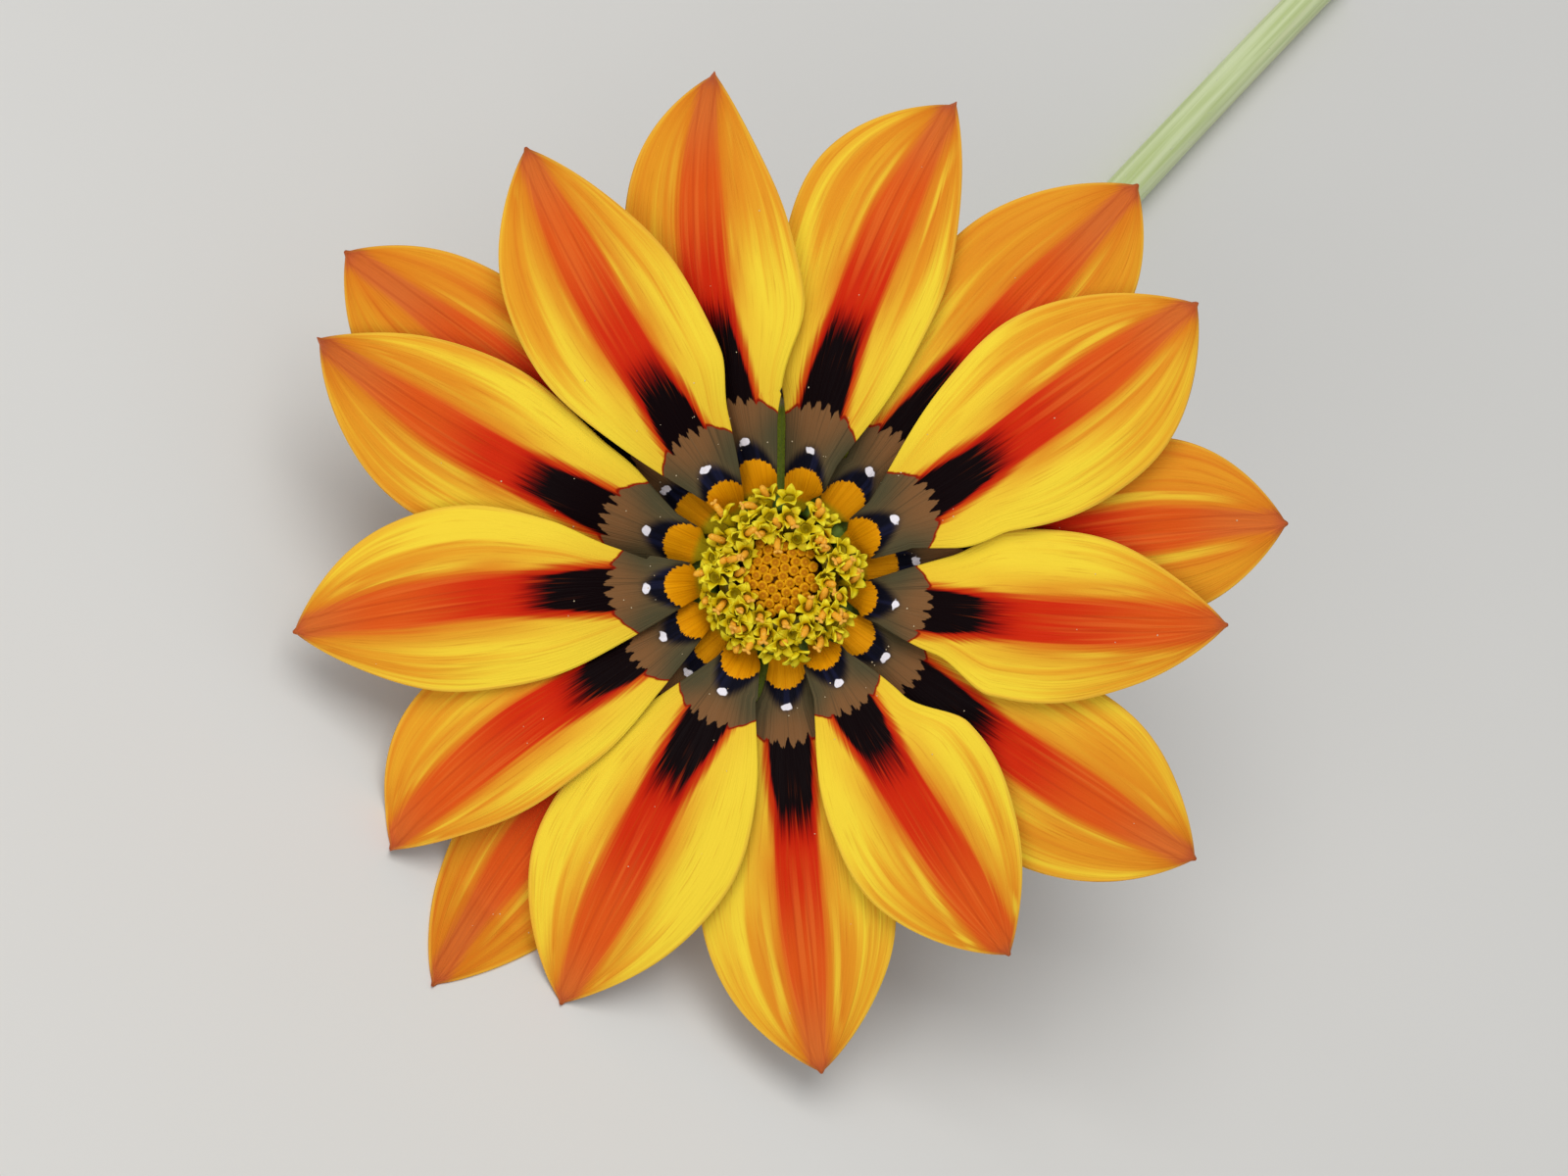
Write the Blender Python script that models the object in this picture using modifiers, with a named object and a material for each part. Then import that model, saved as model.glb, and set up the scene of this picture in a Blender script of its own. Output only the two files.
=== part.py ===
"""A picked gazania that lies on a table: a flower head of sixteen rays on a curved, cut stem.

The head is modelled face up about its own axis, in millimetres, and then tilted into place on an
empty. It leans on the tips of its three lowest rays and on the stem behind it. The part itself is
in metres, +Z up, with its origin on the table under the middle of its box.
"""
import math

import bmesh
import bpy
from mathutils import Vector

MM = 0.001

# Place of the head: its centre, its lean, and its turn that brings the stem to +Y.
HEAD_X = 1.6
HEAD_Y = -43.4
HEAD_Z = 20.3
HEAD_TILT = math.radians(40.0)
HEAD_TURN = math.radians(41.0)

# Each ray floret, seen face on, counter-clockwise angles in degrees and lengths in millimetres:
# direction of its root, direction and distance of its tip, bow of its midrib to the left, its
# widest half on the left and on the right with their places along it, and the layer of its left
# and right edge.
RAYS = (
    (104.0, 97.4, 40.1, 0.95, (6.4, 0.66), (7.2, 0.48), (0, 1)),
    (76.0, 69.6, 39.9, 0.4, (7.5, 0.68), (6.0, 0.55), (0, 1)),
    (49.0, 47.5, 42.1, 0.0, (7.4, 0.62), (6.6, 0.70), (0, 0)),
    (25.6, 33.2, 39.3, 0.4, (7.9, 0.60), (7.8, 0.62), (1, 1.5)),
    (6.2, 5.9, 40.5, 0.2, (7.5, 0.70), (6.7, 0.66), (0, 0)),
    (-14.1, -6.2, 35.5, 0.25, (7.2, 0.55), (6.3, 0.50), (1, 1)),
    (-37.8, -34.2, 39.9, 0.0, (7.4, 0.62), (7.5, 0.62), (0, 0)),
    (-60.5, -58.7, 34.9, 0.0, (7.3, 0.52), (6.9, 0.60), (1, 1)),
    (-86.7, -85.1, 39.5, 0.0, (7.2, 0.60), (8.0, 0.62), (0, 0)),
    (-115.0, -117.0, 37.8, -0.9, (8.0, 0.55), (7.3, 0.60), (1, 1)),
    (-134.0, -130.2, 41.7, -0.9, (7.4, 0.62), (5.4, 0.62), (0, 0)),
    (-152.8, -144.9, 37.4, 0.0, (5.3, 0.55), (7.6, 0.66), (1.5, 0)),
    (-174.6, -173.4, 38.5, -0.55, (7.0, 0.55), (7.5, 0.62), (1, 1)),
    (161.1, 152.8, 41.0, 0.0, (7.1, 0.60), (6.7, 0.60), (0, 1)),
    (142.5, 143.2, 43.0, 0.0, (7.4, 0.70), (5.8, 0.66), (0, 0)),
    (124.4, 120.6, 39.1, 0.0, (7.3, 0.60), (6.3, 0.52), (1.5, 1.5)),
)
RAY_THICK = 0.6
RAY_ROOT = 5.4
ROOT_HALF = 0.65
TIP_HALF = 0.2
TIP_ROUNDING = 0.95
CAMBER = 0.35
RAY_COLUMNS = 6
RAY_ROWS = 12

# Side view of the rays: they rise off the cup, crest and droop, and part into layers.
ARCH_RISE = 3.4
ARCH_RUN = 14.0
CREST = 20.0
DROOP = 1.6
DROOP_RUN = 20.0
LAYER_STEP = 1.8
LAYER_START = 5.4
LAYER_RUN = 3.6
FLOOR_BLEND = 0.5

# The disc: a domed receptacle with closed florets, and a ring of open florets round it.
SEAT_GAP = 0.3
PLATE_RADIUS = 4.7
PLATE_LOW = -1.2
PLATE_TOP = -0.5
DOME_RADIUS = 3.1
DOME_TOP = 2.6
DOME_CROWN = 0.9
DOME_STEPS = 6
DISC_SIDES = 24
BUD_COUNT = 51
BUD_REACH = 2.9
BUD_SIDES = 6
BUD_RADIUS = 0.47
BUD_TOP = 0.21
BUD_LENGTH = 1.6
BUD_LEAN = 0.3
GOLDEN_ANGLE = math.pi * (3 - math.sqrt(5))
RING_INNER = 3.5
RING_OUTER = 4.8
RING_LOW = -0.2
RING_TOP = 2.4
RING_SIDES = 32
# Each circle of open florets: how many, where their tubes start, and where their mouths are.
FLORET_CIRCLES = (
    (18, (3.95, 1.5), (4.35, 3.4)),
    (22, (4.3, 1.5), (5.3, 3.4)),
    (26, (4.5, 1.8), (6.4, 3.25)),
)
FLORET_LOBES = 5
FLORET_MOUTH = 0.82
FLORET_NOTCH = 0.42
FLORET_TUBE = 0.3

# The green cup and its free bracts.
CUP_PROFILE = (
    (0.0, -1.5), (5.0, -1.5), (5.1, -0.5), (5.3, -0.3), (6.2, -0.3), (6.5, -0.6), (6.7, -2.0),
    (6.5, -4.5), (5.8, -7.0), (4.4, -9.6), (3.2, -11.4), (2.5, -12.6), (2.3, -13.2), (0.0, -13.2),
)
CUP_SIDES = 24
BRACT_THICK = 0.7
BRACT_DROP = 1.4
LOBE_ROOT = 5.6
LOBE_TIP = 14.0
LOBE_HALF = 1.1
LOBE_TAPER = 0.8
LOBE_STAGGER = 0.2
OUTER_BRACTS = 12
OUTER_ROOT = (5.2, -5.9)
OUTER_TIP = (9.4, -2.4)
OUTER_HALF = 1.2
OUTER_FLARE = 1.3
OUTER_TAPER = 0.7

# The stem: a bend under the head, then a long gentle curve along the table.
STEM_RADIUS = 2.0
STEM_LENGTH = 117.7
STEM_SWAY = 2.0
STEM_POINTS = 44
STEM_SIDES = 10
STEM_TAPER = 0.06

RAY_COLOUR = (0.82, 0.36, 0.03)
BUD_COLOUR = (0.53, 0.24, 0.01)
FLORET_COLOUR = (0.68, 0.42, 0.01)
CUP_COLOUR = (0.10, 0.16, 0.02)
STEM_COLOUR = (0.35, 0.47, 0.22)
SHARP_ANGLE = math.radians(40.0)


def polar(distance, angle):
    """A point of the head's plane, from its distance and its angle in degrees."""
    turn = math.radians(angle)
    return Vector((distance * math.cos(turn), distance * math.sin(turn)))


def smooth(value):
    """Eases from 0 to 1 as the value goes from 0 to 1."""
    value = min(max(value, 0.0), 1.0)
    return value * value * (3 - 2 * value)


def arch(distance):
    """Height of the lowest layer of rays at a distance from the head's axis."""
    rise = ARCH_RISE * smooth((distance - RAY_ROOT) / ARCH_RUN)
    return rise - DROOP * (max(distance - CREST, 0.0) / DROOP_RUN) ** 2


def table_height(point):
    """Height of the table, as the tilted head measures it, under a point of the head's plane."""
    up_slope = point.x * math.sin(HEAD_TURN) + point.y * math.cos(HEAD_TURN)
    return -(HEAD_Z + up_slope * math.sin(HEAD_TILT)) / math.cos(HEAD_TILT)


def lay_down(height, table):
    """Bends a height that would sink through the table smoothly onto it."""
    clear = height - table
    if clear > FLOOR_BLEND:
        return height
    if clear < -FLOOR_BLEND:
        return table
    return table + (clear + FLOOR_BLEND) ** 2 / (4 * FLOOR_BLEND)


def half_width(along, widest, place):
    """Half the width of a ray at a share of its length: a claw, a wide blade, a pointed tip."""
    power = TIP_ROUNDING * place / (1 - place)
    swell = (along / place) ** power * ((1 - along) / (1 - place)) ** TIP_ROUNDING
    return ROOT_HALF * (1 - along) + TIP_HALF * along + (widest - ROOT_HALF * (1 - place)) * swell


def midrib(ray, along):
    """Place and direction of a ray's midrib, a quadratic curve from root to tip."""
    root_angle, tip_angle, reach, bow = ray[:4]
    root, tip = polar(RAY_ROOT, root_angle), polar(reach, tip_angle)
    span = tip - root
    left = Vector((-span.y, span.x)).normalized()
    middle = root + polar(0.5 * span.length, root_angle) + 2 * bow * left
    place = (1 - along) ** 2 * root + 2 * along * (1 - along) * middle + along ** 2 * tip
    heading = (1 - along) * (middle - root) + along * (tip - middle)
    return place, heading.normalized()


def ray_point(ray, across, along):
    """A point of a ray's underside; across runs from -1 at its left edge to 1 at its right."""
    left_half, right_half, layers = ray[4:]
    place, heading = midrib(ray, along)
    right = Vector((heading.y, -heading.x))
    widest, where = right_half if across > 0 else left_half
    spot = place + right * across * half_width(along, widest, where)
    layer = layers[0] + (layers[1] - layers[0]) * smooth((across + 1) / 2)
    height = arch(spot.length) + layer * LAYER_STEP * smooth((spot.length - LAYER_START) / LAYER_RUN)
    height -= CAMBER * across ** 2 * math.sin(math.pi * along)
    return Vector((spot.x, spot.y, lay_down(height, table_height(spot))))


def new_object(name, mesh, collection):
    """Adds a named object for a mesh to a collection."""
    piece = bpy.data.objects.new(name, mesh)
    collection.objects.link(piece)
    return piece


def mesh_from(bm, name):
    """Turns a bmesh in millimetres into a mesh in metres."""
    bmesh.ops.scale(bm, vec=(MM, MM, MM), verts=bm.verts)
    mesh = bpy.data.meshes.new(name)
    bm.to_mesh(mesh)
    bm.free()
    return mesh


def paint(piece, colour, roughness):
    """Gives a piece its own material."""
    material = bpy.data.materials.new(piece.name)
    material.use_nodes = True
    shader = material.node_tree.nodes["Principled BSDF"]
    shader.inputs["Base Color"].default_value = (*colour, 1.0)
    shader.inputs["Roughness"].default_value = roughness
    shader.inputs["Metallic"].default_value = 0.0
    piece.data.materials.clear()
    piece.data.materials.append(material)


def blade(name, place, columns, rows, thick, collection):
    """A thin leaf-like solid whose underside follows place(across, along)."""
    bm = bmesh.new()
    bmesh.ops.create_grid(bm, x_segments=columns, y_segments=rows, size=0.5)
    bmesh.ops.triangulate(bm, faces=bm.faces)
    for vertex in bm.verts:
        vertex.co = place(2 * vertex.co.x, vertex.co.y + 0.5)
    mesh = mesh_from(bm, name)
    mesh.shade_smooth()
    piece = new_object(name, mesh, collection)
    solid = piece.modifiers.new("Thickness", "SOLIDIFY")
    solid.thickness = thick * MM
    solid.offset = 1.0
    return piece


def turned(name, profile, steps, collection):
    """A solid of revolution about Z, from a profile in millimetres."""
    mesh = bpy.data.meshes.new(name)
    points = [(radius * MM, 0.0, height * MM) for radius, height in profile]
    mesh.from_pydata(points, [(i, i + 1) for i in range(len(points) - 1)], [])
    piece = new_object(name, mesh, collection)
    screw = piece.modifiers.new("Turn", "SCREW")
    screw.steps = screw.render_steps = steps
    screw.use_merge_vertices = True
    screw.merge_threshold = 0.00001
    screw.use_smooth_shade = True
    return piece


def keep_outer_shell(mesh):
    """Fills the small hollows that the fusing closes: only the shell with the most faces stays."""
    bm = bmesh.new()
    bm.from_mesh(mesh)
    unseen, shells = set(bm.verts), []
    while unseen:
        shell, edge = set(), [unseen.pop()]
        while edge:
            vertex = edge.pop()
            shell.add(vertex)
            near = {link.other_vert(vertex) for link in vertex.link_edges} & unseen
            unseen -= near
            edge.extend(near)
        shells.append(shell)
    shells.sort(key=len)
    for shell in shells[:-1]:
        bmesh.ops.delete(bm, geom=list(shell), context="VERTS")
    bm.to_mesh(mesh)
    bm.free()


def fuse(core, repeats):
    """Joins a core and the small repeats that grow from it into one solid."""
    union = core.modifiers.new("Union", "BOOLEAN")
    union.operation = "UNION"
    union.operand_type = "COLLECTION"
    union.collection = repeats
    union.solver = "EXACT"
    evaluated = core.evaluated_get(bpy.context.evaluated_depsgraph_get())
    joined = bpy.data.meshes.new_from_object(evaluated)
    keep_outer_shell(joined)
    joined.shade_smooth()
    joined.set_sharp_from_angle(angle=SHARP_ANGLE)
    core.modifiers.clear()
    core.data = joined
    for piece in list(repeats.objects):
        bpy.data.objects.remove(piece, do_unlink=True)
    bpy.data.collections.remove(repeats)


def repeats_collection(name):
    """A collection for the repeats that are about to be fused."""
    repeats = bpy.data.collections.new(name)
    bpy.context.scene.collection.children.link(repeats)
    return repeats


def aim(piece, start, end):
    """Stands a piece that grows along its own +Z on a start point, leaning towards an end point."""
    piece.location = start * MM
    piece.rotation_mode = "QUATERNION"
    piece.rotation_quaternion = (end - start).to_track_quat("Z", "Y")


def make_rays(parts):
    """The sixteen ray florets, clockwise from the top of the face."""
    rays = []
    for number, ray in enumerate(RAYS, start=1):
        def place(across, along, ray=ray):
            return ray_point(ray, across, along)
        piece = blade(f"ray_{number:02d}", place, RAY_COLUMNS, RAY_ROWS, RAY_THICK, parts)
        paint(piece, RAY_COLOUR, 0.5)
        rays.append(piece)
    return rays


def dome_height(distance):
    """Height of the receptacle's dome at a distance from the axis."""
    return DOME_TOP - DOME_CROWN * (1 - math.sqrt(1 - (distance / DOME_RADIUS) ** 2))


def bud_mesh():
    """One closed floret, a blunt stud that narrows upward."""
    bm = bmesh.new()
    bmesh.ops.create_cone(bm, cap_ends=True, segments=BUD_SIDES, radius1=BUD_RADIUS, radius2=BUD_TOP,
                          depth=BUD_LENGTH)
    return mesh_from(bm, "bud")


def make_disc_buds(parts):
    """The receptacle plate, its dome and the closed florets that cover the dome."""
    quarter = [math.pi / 2 * step / DOME_STEPS for step in range(DOME_STEPS + 1)]
    dome = [(DOME_RADIUS * math.sin(turn), dome_height(DOME_RADIUS * math.sin(turn))) for turn in quarter]
    plate = [(DOME_RADIUS, PLATE_TOP), (PLATE_RADIUS, PLATE_TOP), (PLATE_RADIUS, PLATE_LOW),
             (0.0, PLATE_LOW)]
    core = turned("disc_buds", dome + plate, DISC_SIDES, parts)
    repeats = repeats_collection("buds")
    mesh = bud_mesh()
    for number in range(BUD_COUNT):
        distance = BUD_REACH * math.sqrt((number + 0.5) / BUD_COUNT)
        turn = number * GOLDEN_ANGLE
        out = Vector((math.cos(turn), math.sin(turn), 0))
        start = out * distance + Vector((0, 0, dome_height(distance)))
        bud = new_object(f"bud_{number}", mesh, repeats)
        aim(bud, start, start + Vector((0, 0, 1)) + out * BUD_LEAN * distance / DOME_RADIUS)
    fuse(core, repeats)
    paint(core, BUD_COLOUR, 0.6)
    return core


def floret_mesh(length):
    """One open floret: a slim tube that widens to a mouth with five pointed lobes."""
    bm = bmesh.new()
    bmesh.ops.create_cone(bm, cap_ends=True, segments=2 * FLORET_LOBES, radius1=FLORET_TUBE,
                          radius2=FLORET_MOUTH, depth=length)
    for vertex in bm.verts:
        vertex.co.z += length / 2
        if vertex.co.z > length / 2:
            turn = math.atan2(vertex.co.y, vertex.co.x) * FLORET_LOBES
            if math.cos(turn) < 0:
                vertex.co.xy *= FLORET_NOTCH / FLORET_MOUTH
    return mesh_from(bm, "floret")


def make_open_florets(parts):
    """The ring of open florets, in three circles that lean further outward."""
    profile = [(RING_INNER, RING_TOP), (RING_OUTER, RING_TOP), (RING_OUTER, RING_LOW),
               (RING_INNER, RING_LOW), (RING_INNER, RING_TOP)]
    core = turned("open_florets", profile, RING_SIDES, parts)
    repeats = repeats_collection("florets")
    for circle, (count, tube, mouth) in enumerate(FLORET_CIRCLES):
        mesh = floret_mesh(math.hypot(mouth[0] - tube[0], mouth[1] - tube[1]))
        for number in range(count):
            turn = 2 * math.pi * (number + 0.5 * circle) / count
            out = Vector((math.cos(turn), math.sin(turn), 0))
            start = out * tube[0] + Vector((0, 0, tube[1]))
            end = out * mouth[0] + Vector((0, 0, mouth[1]))
            floret = new_object(f"floret_{circle}_{number}", mesh, repeats)
            aim(floret, start, end)
    fuse(core, repeats)
    paint(core, FLORET_COLOUR, 0.55)
    return core


def lobe_point(angle, lower, across, along):
    """A point of the underside of a free bract that spreads below the rays."""
    distance = LOBE_ROOT + (LOBE_TIP - LOBE_ROOT) * along
    half = LOBE_HALF * (1 - along) ** LOBE_TAPER + TIP_HALF
    out = polar(1.0, angle)
    spot = out * distance + Vector((out.y, -out.x)) * across * half
    return Vector((spot.x, spot.y, arch(distance) - BRACT_DROP - lower))


def outer_point(angle, across, along):
    """A point of the underside of a short outer bract that stands off the cup."""
    distance = OUTER_ROOT[0] + (OUTER_TIP[0] - OUTER_ROOT[0]) * along ** OUTER_FLARE
    half = OUTER_HALF * (1 - along) ** OUTER_TAPER + TIP_HALF
    out = polar(1.0, angle)
    spot = out * distance + Vector((out.y, -out.x)) * across * half
    return Vector((spot.x, spot.y, OUTER_ROOT[1] + (OUTER_TIP[1] - OUTER_ROOT[1]) * along))


def make_involucre(parts):
    """The green cup, with a free lobe between each two rays and short bracts lower down."""
    core = turned("involucre", CUP_PROFILE, CUP_SIDES, parts)
    repeats = repeats_collection("bracts")
    for number, ray in enumerate(RAYS):
        angle = ray[0] - ((ray[0] - RAYS[(number + 1) % len(RAYS)][0]) % 360) / 2
        def lobe(across, along, angle=angle, lower=LOBE_STAGGER * (number % 2)):
            return lobe_point(angle, lower, across, along)
        blade(f"lobe_{number}", lobe, 2, 5, BRACT_THICK, repeats)
    for number in range(OUTER_BRACTS):
        def bract(across, along, angle=360 * number / OUTER_BRACTS):
            return outer_point(angle, across, along)
        blade(f"bract_{number}", bract, 2, 4, BRACT_THICK, repeats)
    fuse(core, repeats)
    paint(core, CUP_COLOUR, 0.6)
    return core


def stem_route():
    """The stem's midline in the part's frame: an arc down to the table, then a wide arc along it."""
    lean = math.radians(90) - HEAD_TILT
    depth = -CUP_PROFILE[-1][1] + SEAT_GAP
    start = Vector((HEAD_X, HEAD_Y + depth * math.sin(HEAD_TILT), HEAD_Z - depth * math.cos(HEAD_TILT)))
    low = STEM_RADIUS * math.cos(math.pi / STEM_SIDES)
    bend = (start.z - low) / (1 - math.cos(lean))
    bend_length = bend * lean
    flat_length = STEM_LENGTH - bend_length
    sway_radius = flat_length ** 2 / (2 * STEM_SWAY)
    points = []
    for number in range(STEM_POINTS):
        length = STEM_LENGTH * number / (STEM_POINTS - 1)
        down = max(lean - length / bend, 0.0)
        y = start.y + bend * (math.sin(lean) - math.sin(down))
        z = low + bend * (1 - math.cos(down)) - low * STEM_TAPER * length / STEM_LENGTH
        turn = max(length - bend_length, 0.0) / sway_radius
        x = start.x + sway_radius * (1 - math.cos(turn))
        points.append(Vector((x, y + sway_radius * math.sin(turn), z)))
    return points


def make_stem(parts):
    """The cut stem, a round tube of green tissue with plain ends."""
    points = stem_route()
    curve = bpy.data.curves.new("stem", "CURVE")
    curve.dimensions = "3D"
    curve.bevel_depth = STEM_RADIUS * MM
    curve.bevel_resolution = STEM_SIDES // 2 - 2
    curve.use_fill_caps = True
    curve.twist_mode = "Z_UP"
    spline = curve.splines.new("POLY")
    spline.points.add(len(points) - 1)
    for number, (node, point) in enumerate(zip(spline.points, points)):
        node.co = (*(point * MM), 1.0)
        node.radius = 1 - STEM_TAPER * number / (len(points) - 1)
    piece = new_object("stem", curve, parts)
    paint(piece, STEM_COLOUR, 0.5)
    return piece


for old in list(bpy.data.objects):
    bpy.data.objects.remove(old, do_unlink=True)

gazania = bpy.data.collections.new("gazania")
bpy.context.scene.collection.children.link(gazania)

head = bpy.data.objects.new("head", None)
gazania.objects.link(head)
head.location = Vector((HEAD_X, HEAD_Y, HEAD_Z)) * MM
head.rotation_mode = "ZYX"
head.rotation_euler = (HEAD_TILT, 0.0, HEAD_TURN)

for part in (*make_rays(gazania), make_disc_buds(gazania), make_open_florets(gazania),
             make_involucre(gazania)):
    part.parent = head
make_stem(gazania)
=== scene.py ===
import math

import bpy
import numpy as np
from mathutils import Matrix, Vector


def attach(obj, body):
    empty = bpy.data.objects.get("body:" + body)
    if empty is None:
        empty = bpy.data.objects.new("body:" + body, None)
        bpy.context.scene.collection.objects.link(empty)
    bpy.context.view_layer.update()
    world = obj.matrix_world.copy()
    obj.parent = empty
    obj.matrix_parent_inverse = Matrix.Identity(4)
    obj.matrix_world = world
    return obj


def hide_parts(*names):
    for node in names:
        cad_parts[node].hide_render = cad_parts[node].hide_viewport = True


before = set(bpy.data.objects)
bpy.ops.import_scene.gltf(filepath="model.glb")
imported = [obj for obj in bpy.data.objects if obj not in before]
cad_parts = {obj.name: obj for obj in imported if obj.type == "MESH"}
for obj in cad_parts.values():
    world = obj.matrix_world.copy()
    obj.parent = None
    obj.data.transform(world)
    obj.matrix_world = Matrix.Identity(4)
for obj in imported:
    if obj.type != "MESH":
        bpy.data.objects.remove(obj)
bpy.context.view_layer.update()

# The stem is the cut flower stalk, a pale green tube of juicy tissue with fine long ribs and a few
# soft hairs. It grows out of the bottom of the cup, bends down to the table and lies along it in a
# wide curve to its flat cut end, where the white pith shows.
MM = 0.001
HEAD_CENTRE = (1.6, -43.4, 20.3)
HEAD_TILT = math.radians(40.0)
HEAD_TURN = math.radians(41.0)
HEAD_PLACE = (Matrix.Translation(HEAD_CENTRE) @ Matrix.Rotation(HEAD_TILT, 4, "X")
              @ Matrix.Rotation(HEAD_TURN, 4, "Z"))
ON_TABLE = Matrix.Identity(4)
CUP_DEPTH = 13.2
SEAT_GAP = 0.3
# The solid stem has ten flat sides and lies on one of them.
STEM_RADIUS = 2.0
STEM_AXIS_HEIGHT = STEM_RADIUS * math.cos(math.pi / 10)
STEM_SKIN = 1.9
STEM_RIB = 0.05
STEM_RIBS = 13
STEM_LENGTH = 117.7
STEM_SWAY = 2.0
STEM_TAPER = 0.06
STEM_RINGS = 190
STEM_SIDES = 44
STEM_HAIRS = 420
HAIR_LENGTHS = (0.35, 0.8)
HAIR_FOOT = 0.02
HAIR_SUNK = 0.03
HAIR_LEAN = 0.6
HAIR_CLEARANCE = 0.1
HAIRY_SHARE = 0.97
# How far in from the skin each ring of the cut end is, as a share, and how far it sinks.
PITH_RINGS = ((0.93, 0.0), (0.84, 0.06), (0.4, 0.12))


def smooth(value):
    """Eases from 0 to 1 as the value goes from 0 to 1."""
    value = np.clip(value, 0.0, 1.0)
    return value * value * (3 - 2 * value)


def shade(red, green, blue):
    """A colour as it is seen, 0 to 255, in the light values that Blender works with."""
    seen = np.array((red, green, blue)) / 255
    light = np.where(seen < 0.04045, seen / 12.92, ((seen + 0.055) / 1.055) ** 2.4)
    return (*light.tolist(), 1.0)


def full_turn(sides):
    """Angles evenly spaced round a ring."""
    return np.linspace(0.0, 2 * math.pi, sides, endpoint=False)


def grid_faces(rows, columns, around=False):
    """The quads between rows of points; around joins each row's end to its start."""
    index = np.arange(rows * columns).reshape(rows, columns)
    if around:
        index = np.concatenate([index, index[:, :1]], axis=1)
    corners = (index[:-1, :-1], index[:-1, 1:], index[1:, 1:], index[1:, :-1])
    return np.stack([corner.ravel() for corner in corners], axis=1)


def spread_marks(marks, points):
    """The marks with a value for each point of a grid, and three for grain."""
    return {name: np.broadcast_to(value, points.shape if name == "grain" else points.shape[:2])
            for name, value in marks.items()}


class Clay:
    """The points, faces and marks of a piece, heaped up before they become its mesh. Marks are
    numbers that each point carries for its finish; grain is a place in the piece's own tissue."""

    def __init__(self):
        self.points, self.faces, self.finish, self.marks, self.count = [], [], [], {}, 0

    def add(self, points, faces, finish=0, **marks):
        self.points.append(points)
        self.faces.extend((np.asarray(faces) + self.count).tolist())
        self.finish.extend([finish] * len(faces))
        for name, value in marks.items():
            size = (len(points), 3) if name == "grain" else (len(points),)
            self.marks.setdefault(name, []).append(np.broadcast_to(value, size))
        self.count += len(points)

    def add_round(self, rings, ends=(False, True), finish=0, **marks):
        """Adds a skin through rings of points, with a middle point that closes each end."""
        rows, sides = rings.shape[:2]
        marks = spread_marks(marks, rings)
        start = self.count
        self.add(rings.reshape(-1, 3), grid_faces(rows, sides, around=True), finish,
                 **{name: value.reshape(-1, *value.shape[2:]) for name, value in marks.items()})
        for closed, row in zip(ends, (0, rows - 1)):
            if closed:
                ring = start - self.count + row * sides + np.arange(sides)
                fan = np.stack([ring, np.roll(ring, -1), np.zeros(sides, int)], axis=1)
                self.add(rings[row].mean(0, keepdims=True), fan[:, ::-1] if row == 0 else fan, finish,
                         **{name: value[row].mean(0, keepdims=True) for name, value in marks.items()})

    def add_sheet(self, upper, lower, finishes=(0, 0), **marks):
        """Adds a thin closed blade between an upper and a lower sheet of points."""
        rows, columns = upper.shape[:2]
        half = rows * columns
        marks = {name: np.concatenate([value.reshape(half, *value.shape[2:])] * 2)
                 for name, value in spread_marks(marks, upper).items()}
        faces = grid_faces(rows, columns)
        index = np.arange(half).reshape(rows, columns)
        rim = np.concatenate([index[0], index[1:, -1], index[-1, -2::-1], index[-2:0:-1, 0]])
        after = np.roll(rim, -1)
        edge = np.stack([after, rim, rim + half, after + half], axis=1)
        points = np.concatenate([upper.reshape(-1, 3), lower.reshape(-1, 3)])
        self.add(points, np.concatenate([faces, edge]), finishes[0], **marks)
        self.faces.extend((faces[:, ::-1] + half + self.count - 2 * half).tolist())
        self.finish.extend([finishes[1]] * len(faces))

    def make(self, name, place, *finishes):
        """The piece itself, in its place and with its finishes."""
        mesh = bpy.data.meshes.new(name)
        mesh.from_pydata(np.concatenate(self.points).tolist(), [], self.faces)
        mesh.polygons.foreach_set("material_index", self.finish)
        for mark, values in self.marks.items():
            kind, key = ("FLOAT_VECTOR", "vector") if mark == "grain" else ("FLOAT", "value")
            layer = mesh.attributes.new(mark, kind, "POINT")
            layer.data.foreach_set(key, np.concatenate(values).astype(np.float32).ravel())
        mesh.transform(Matrix.Diagonal((MM, MM, MM, 1.0)) @ place)
        mesh.shade_smooth()
        for finish in finishes:
            mesh.materials.append(finish)
        piece = bpy.data.objects.new(name, mesh)
        bpy.context.scene.collection.objects.link(piece)
        return piece


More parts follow.
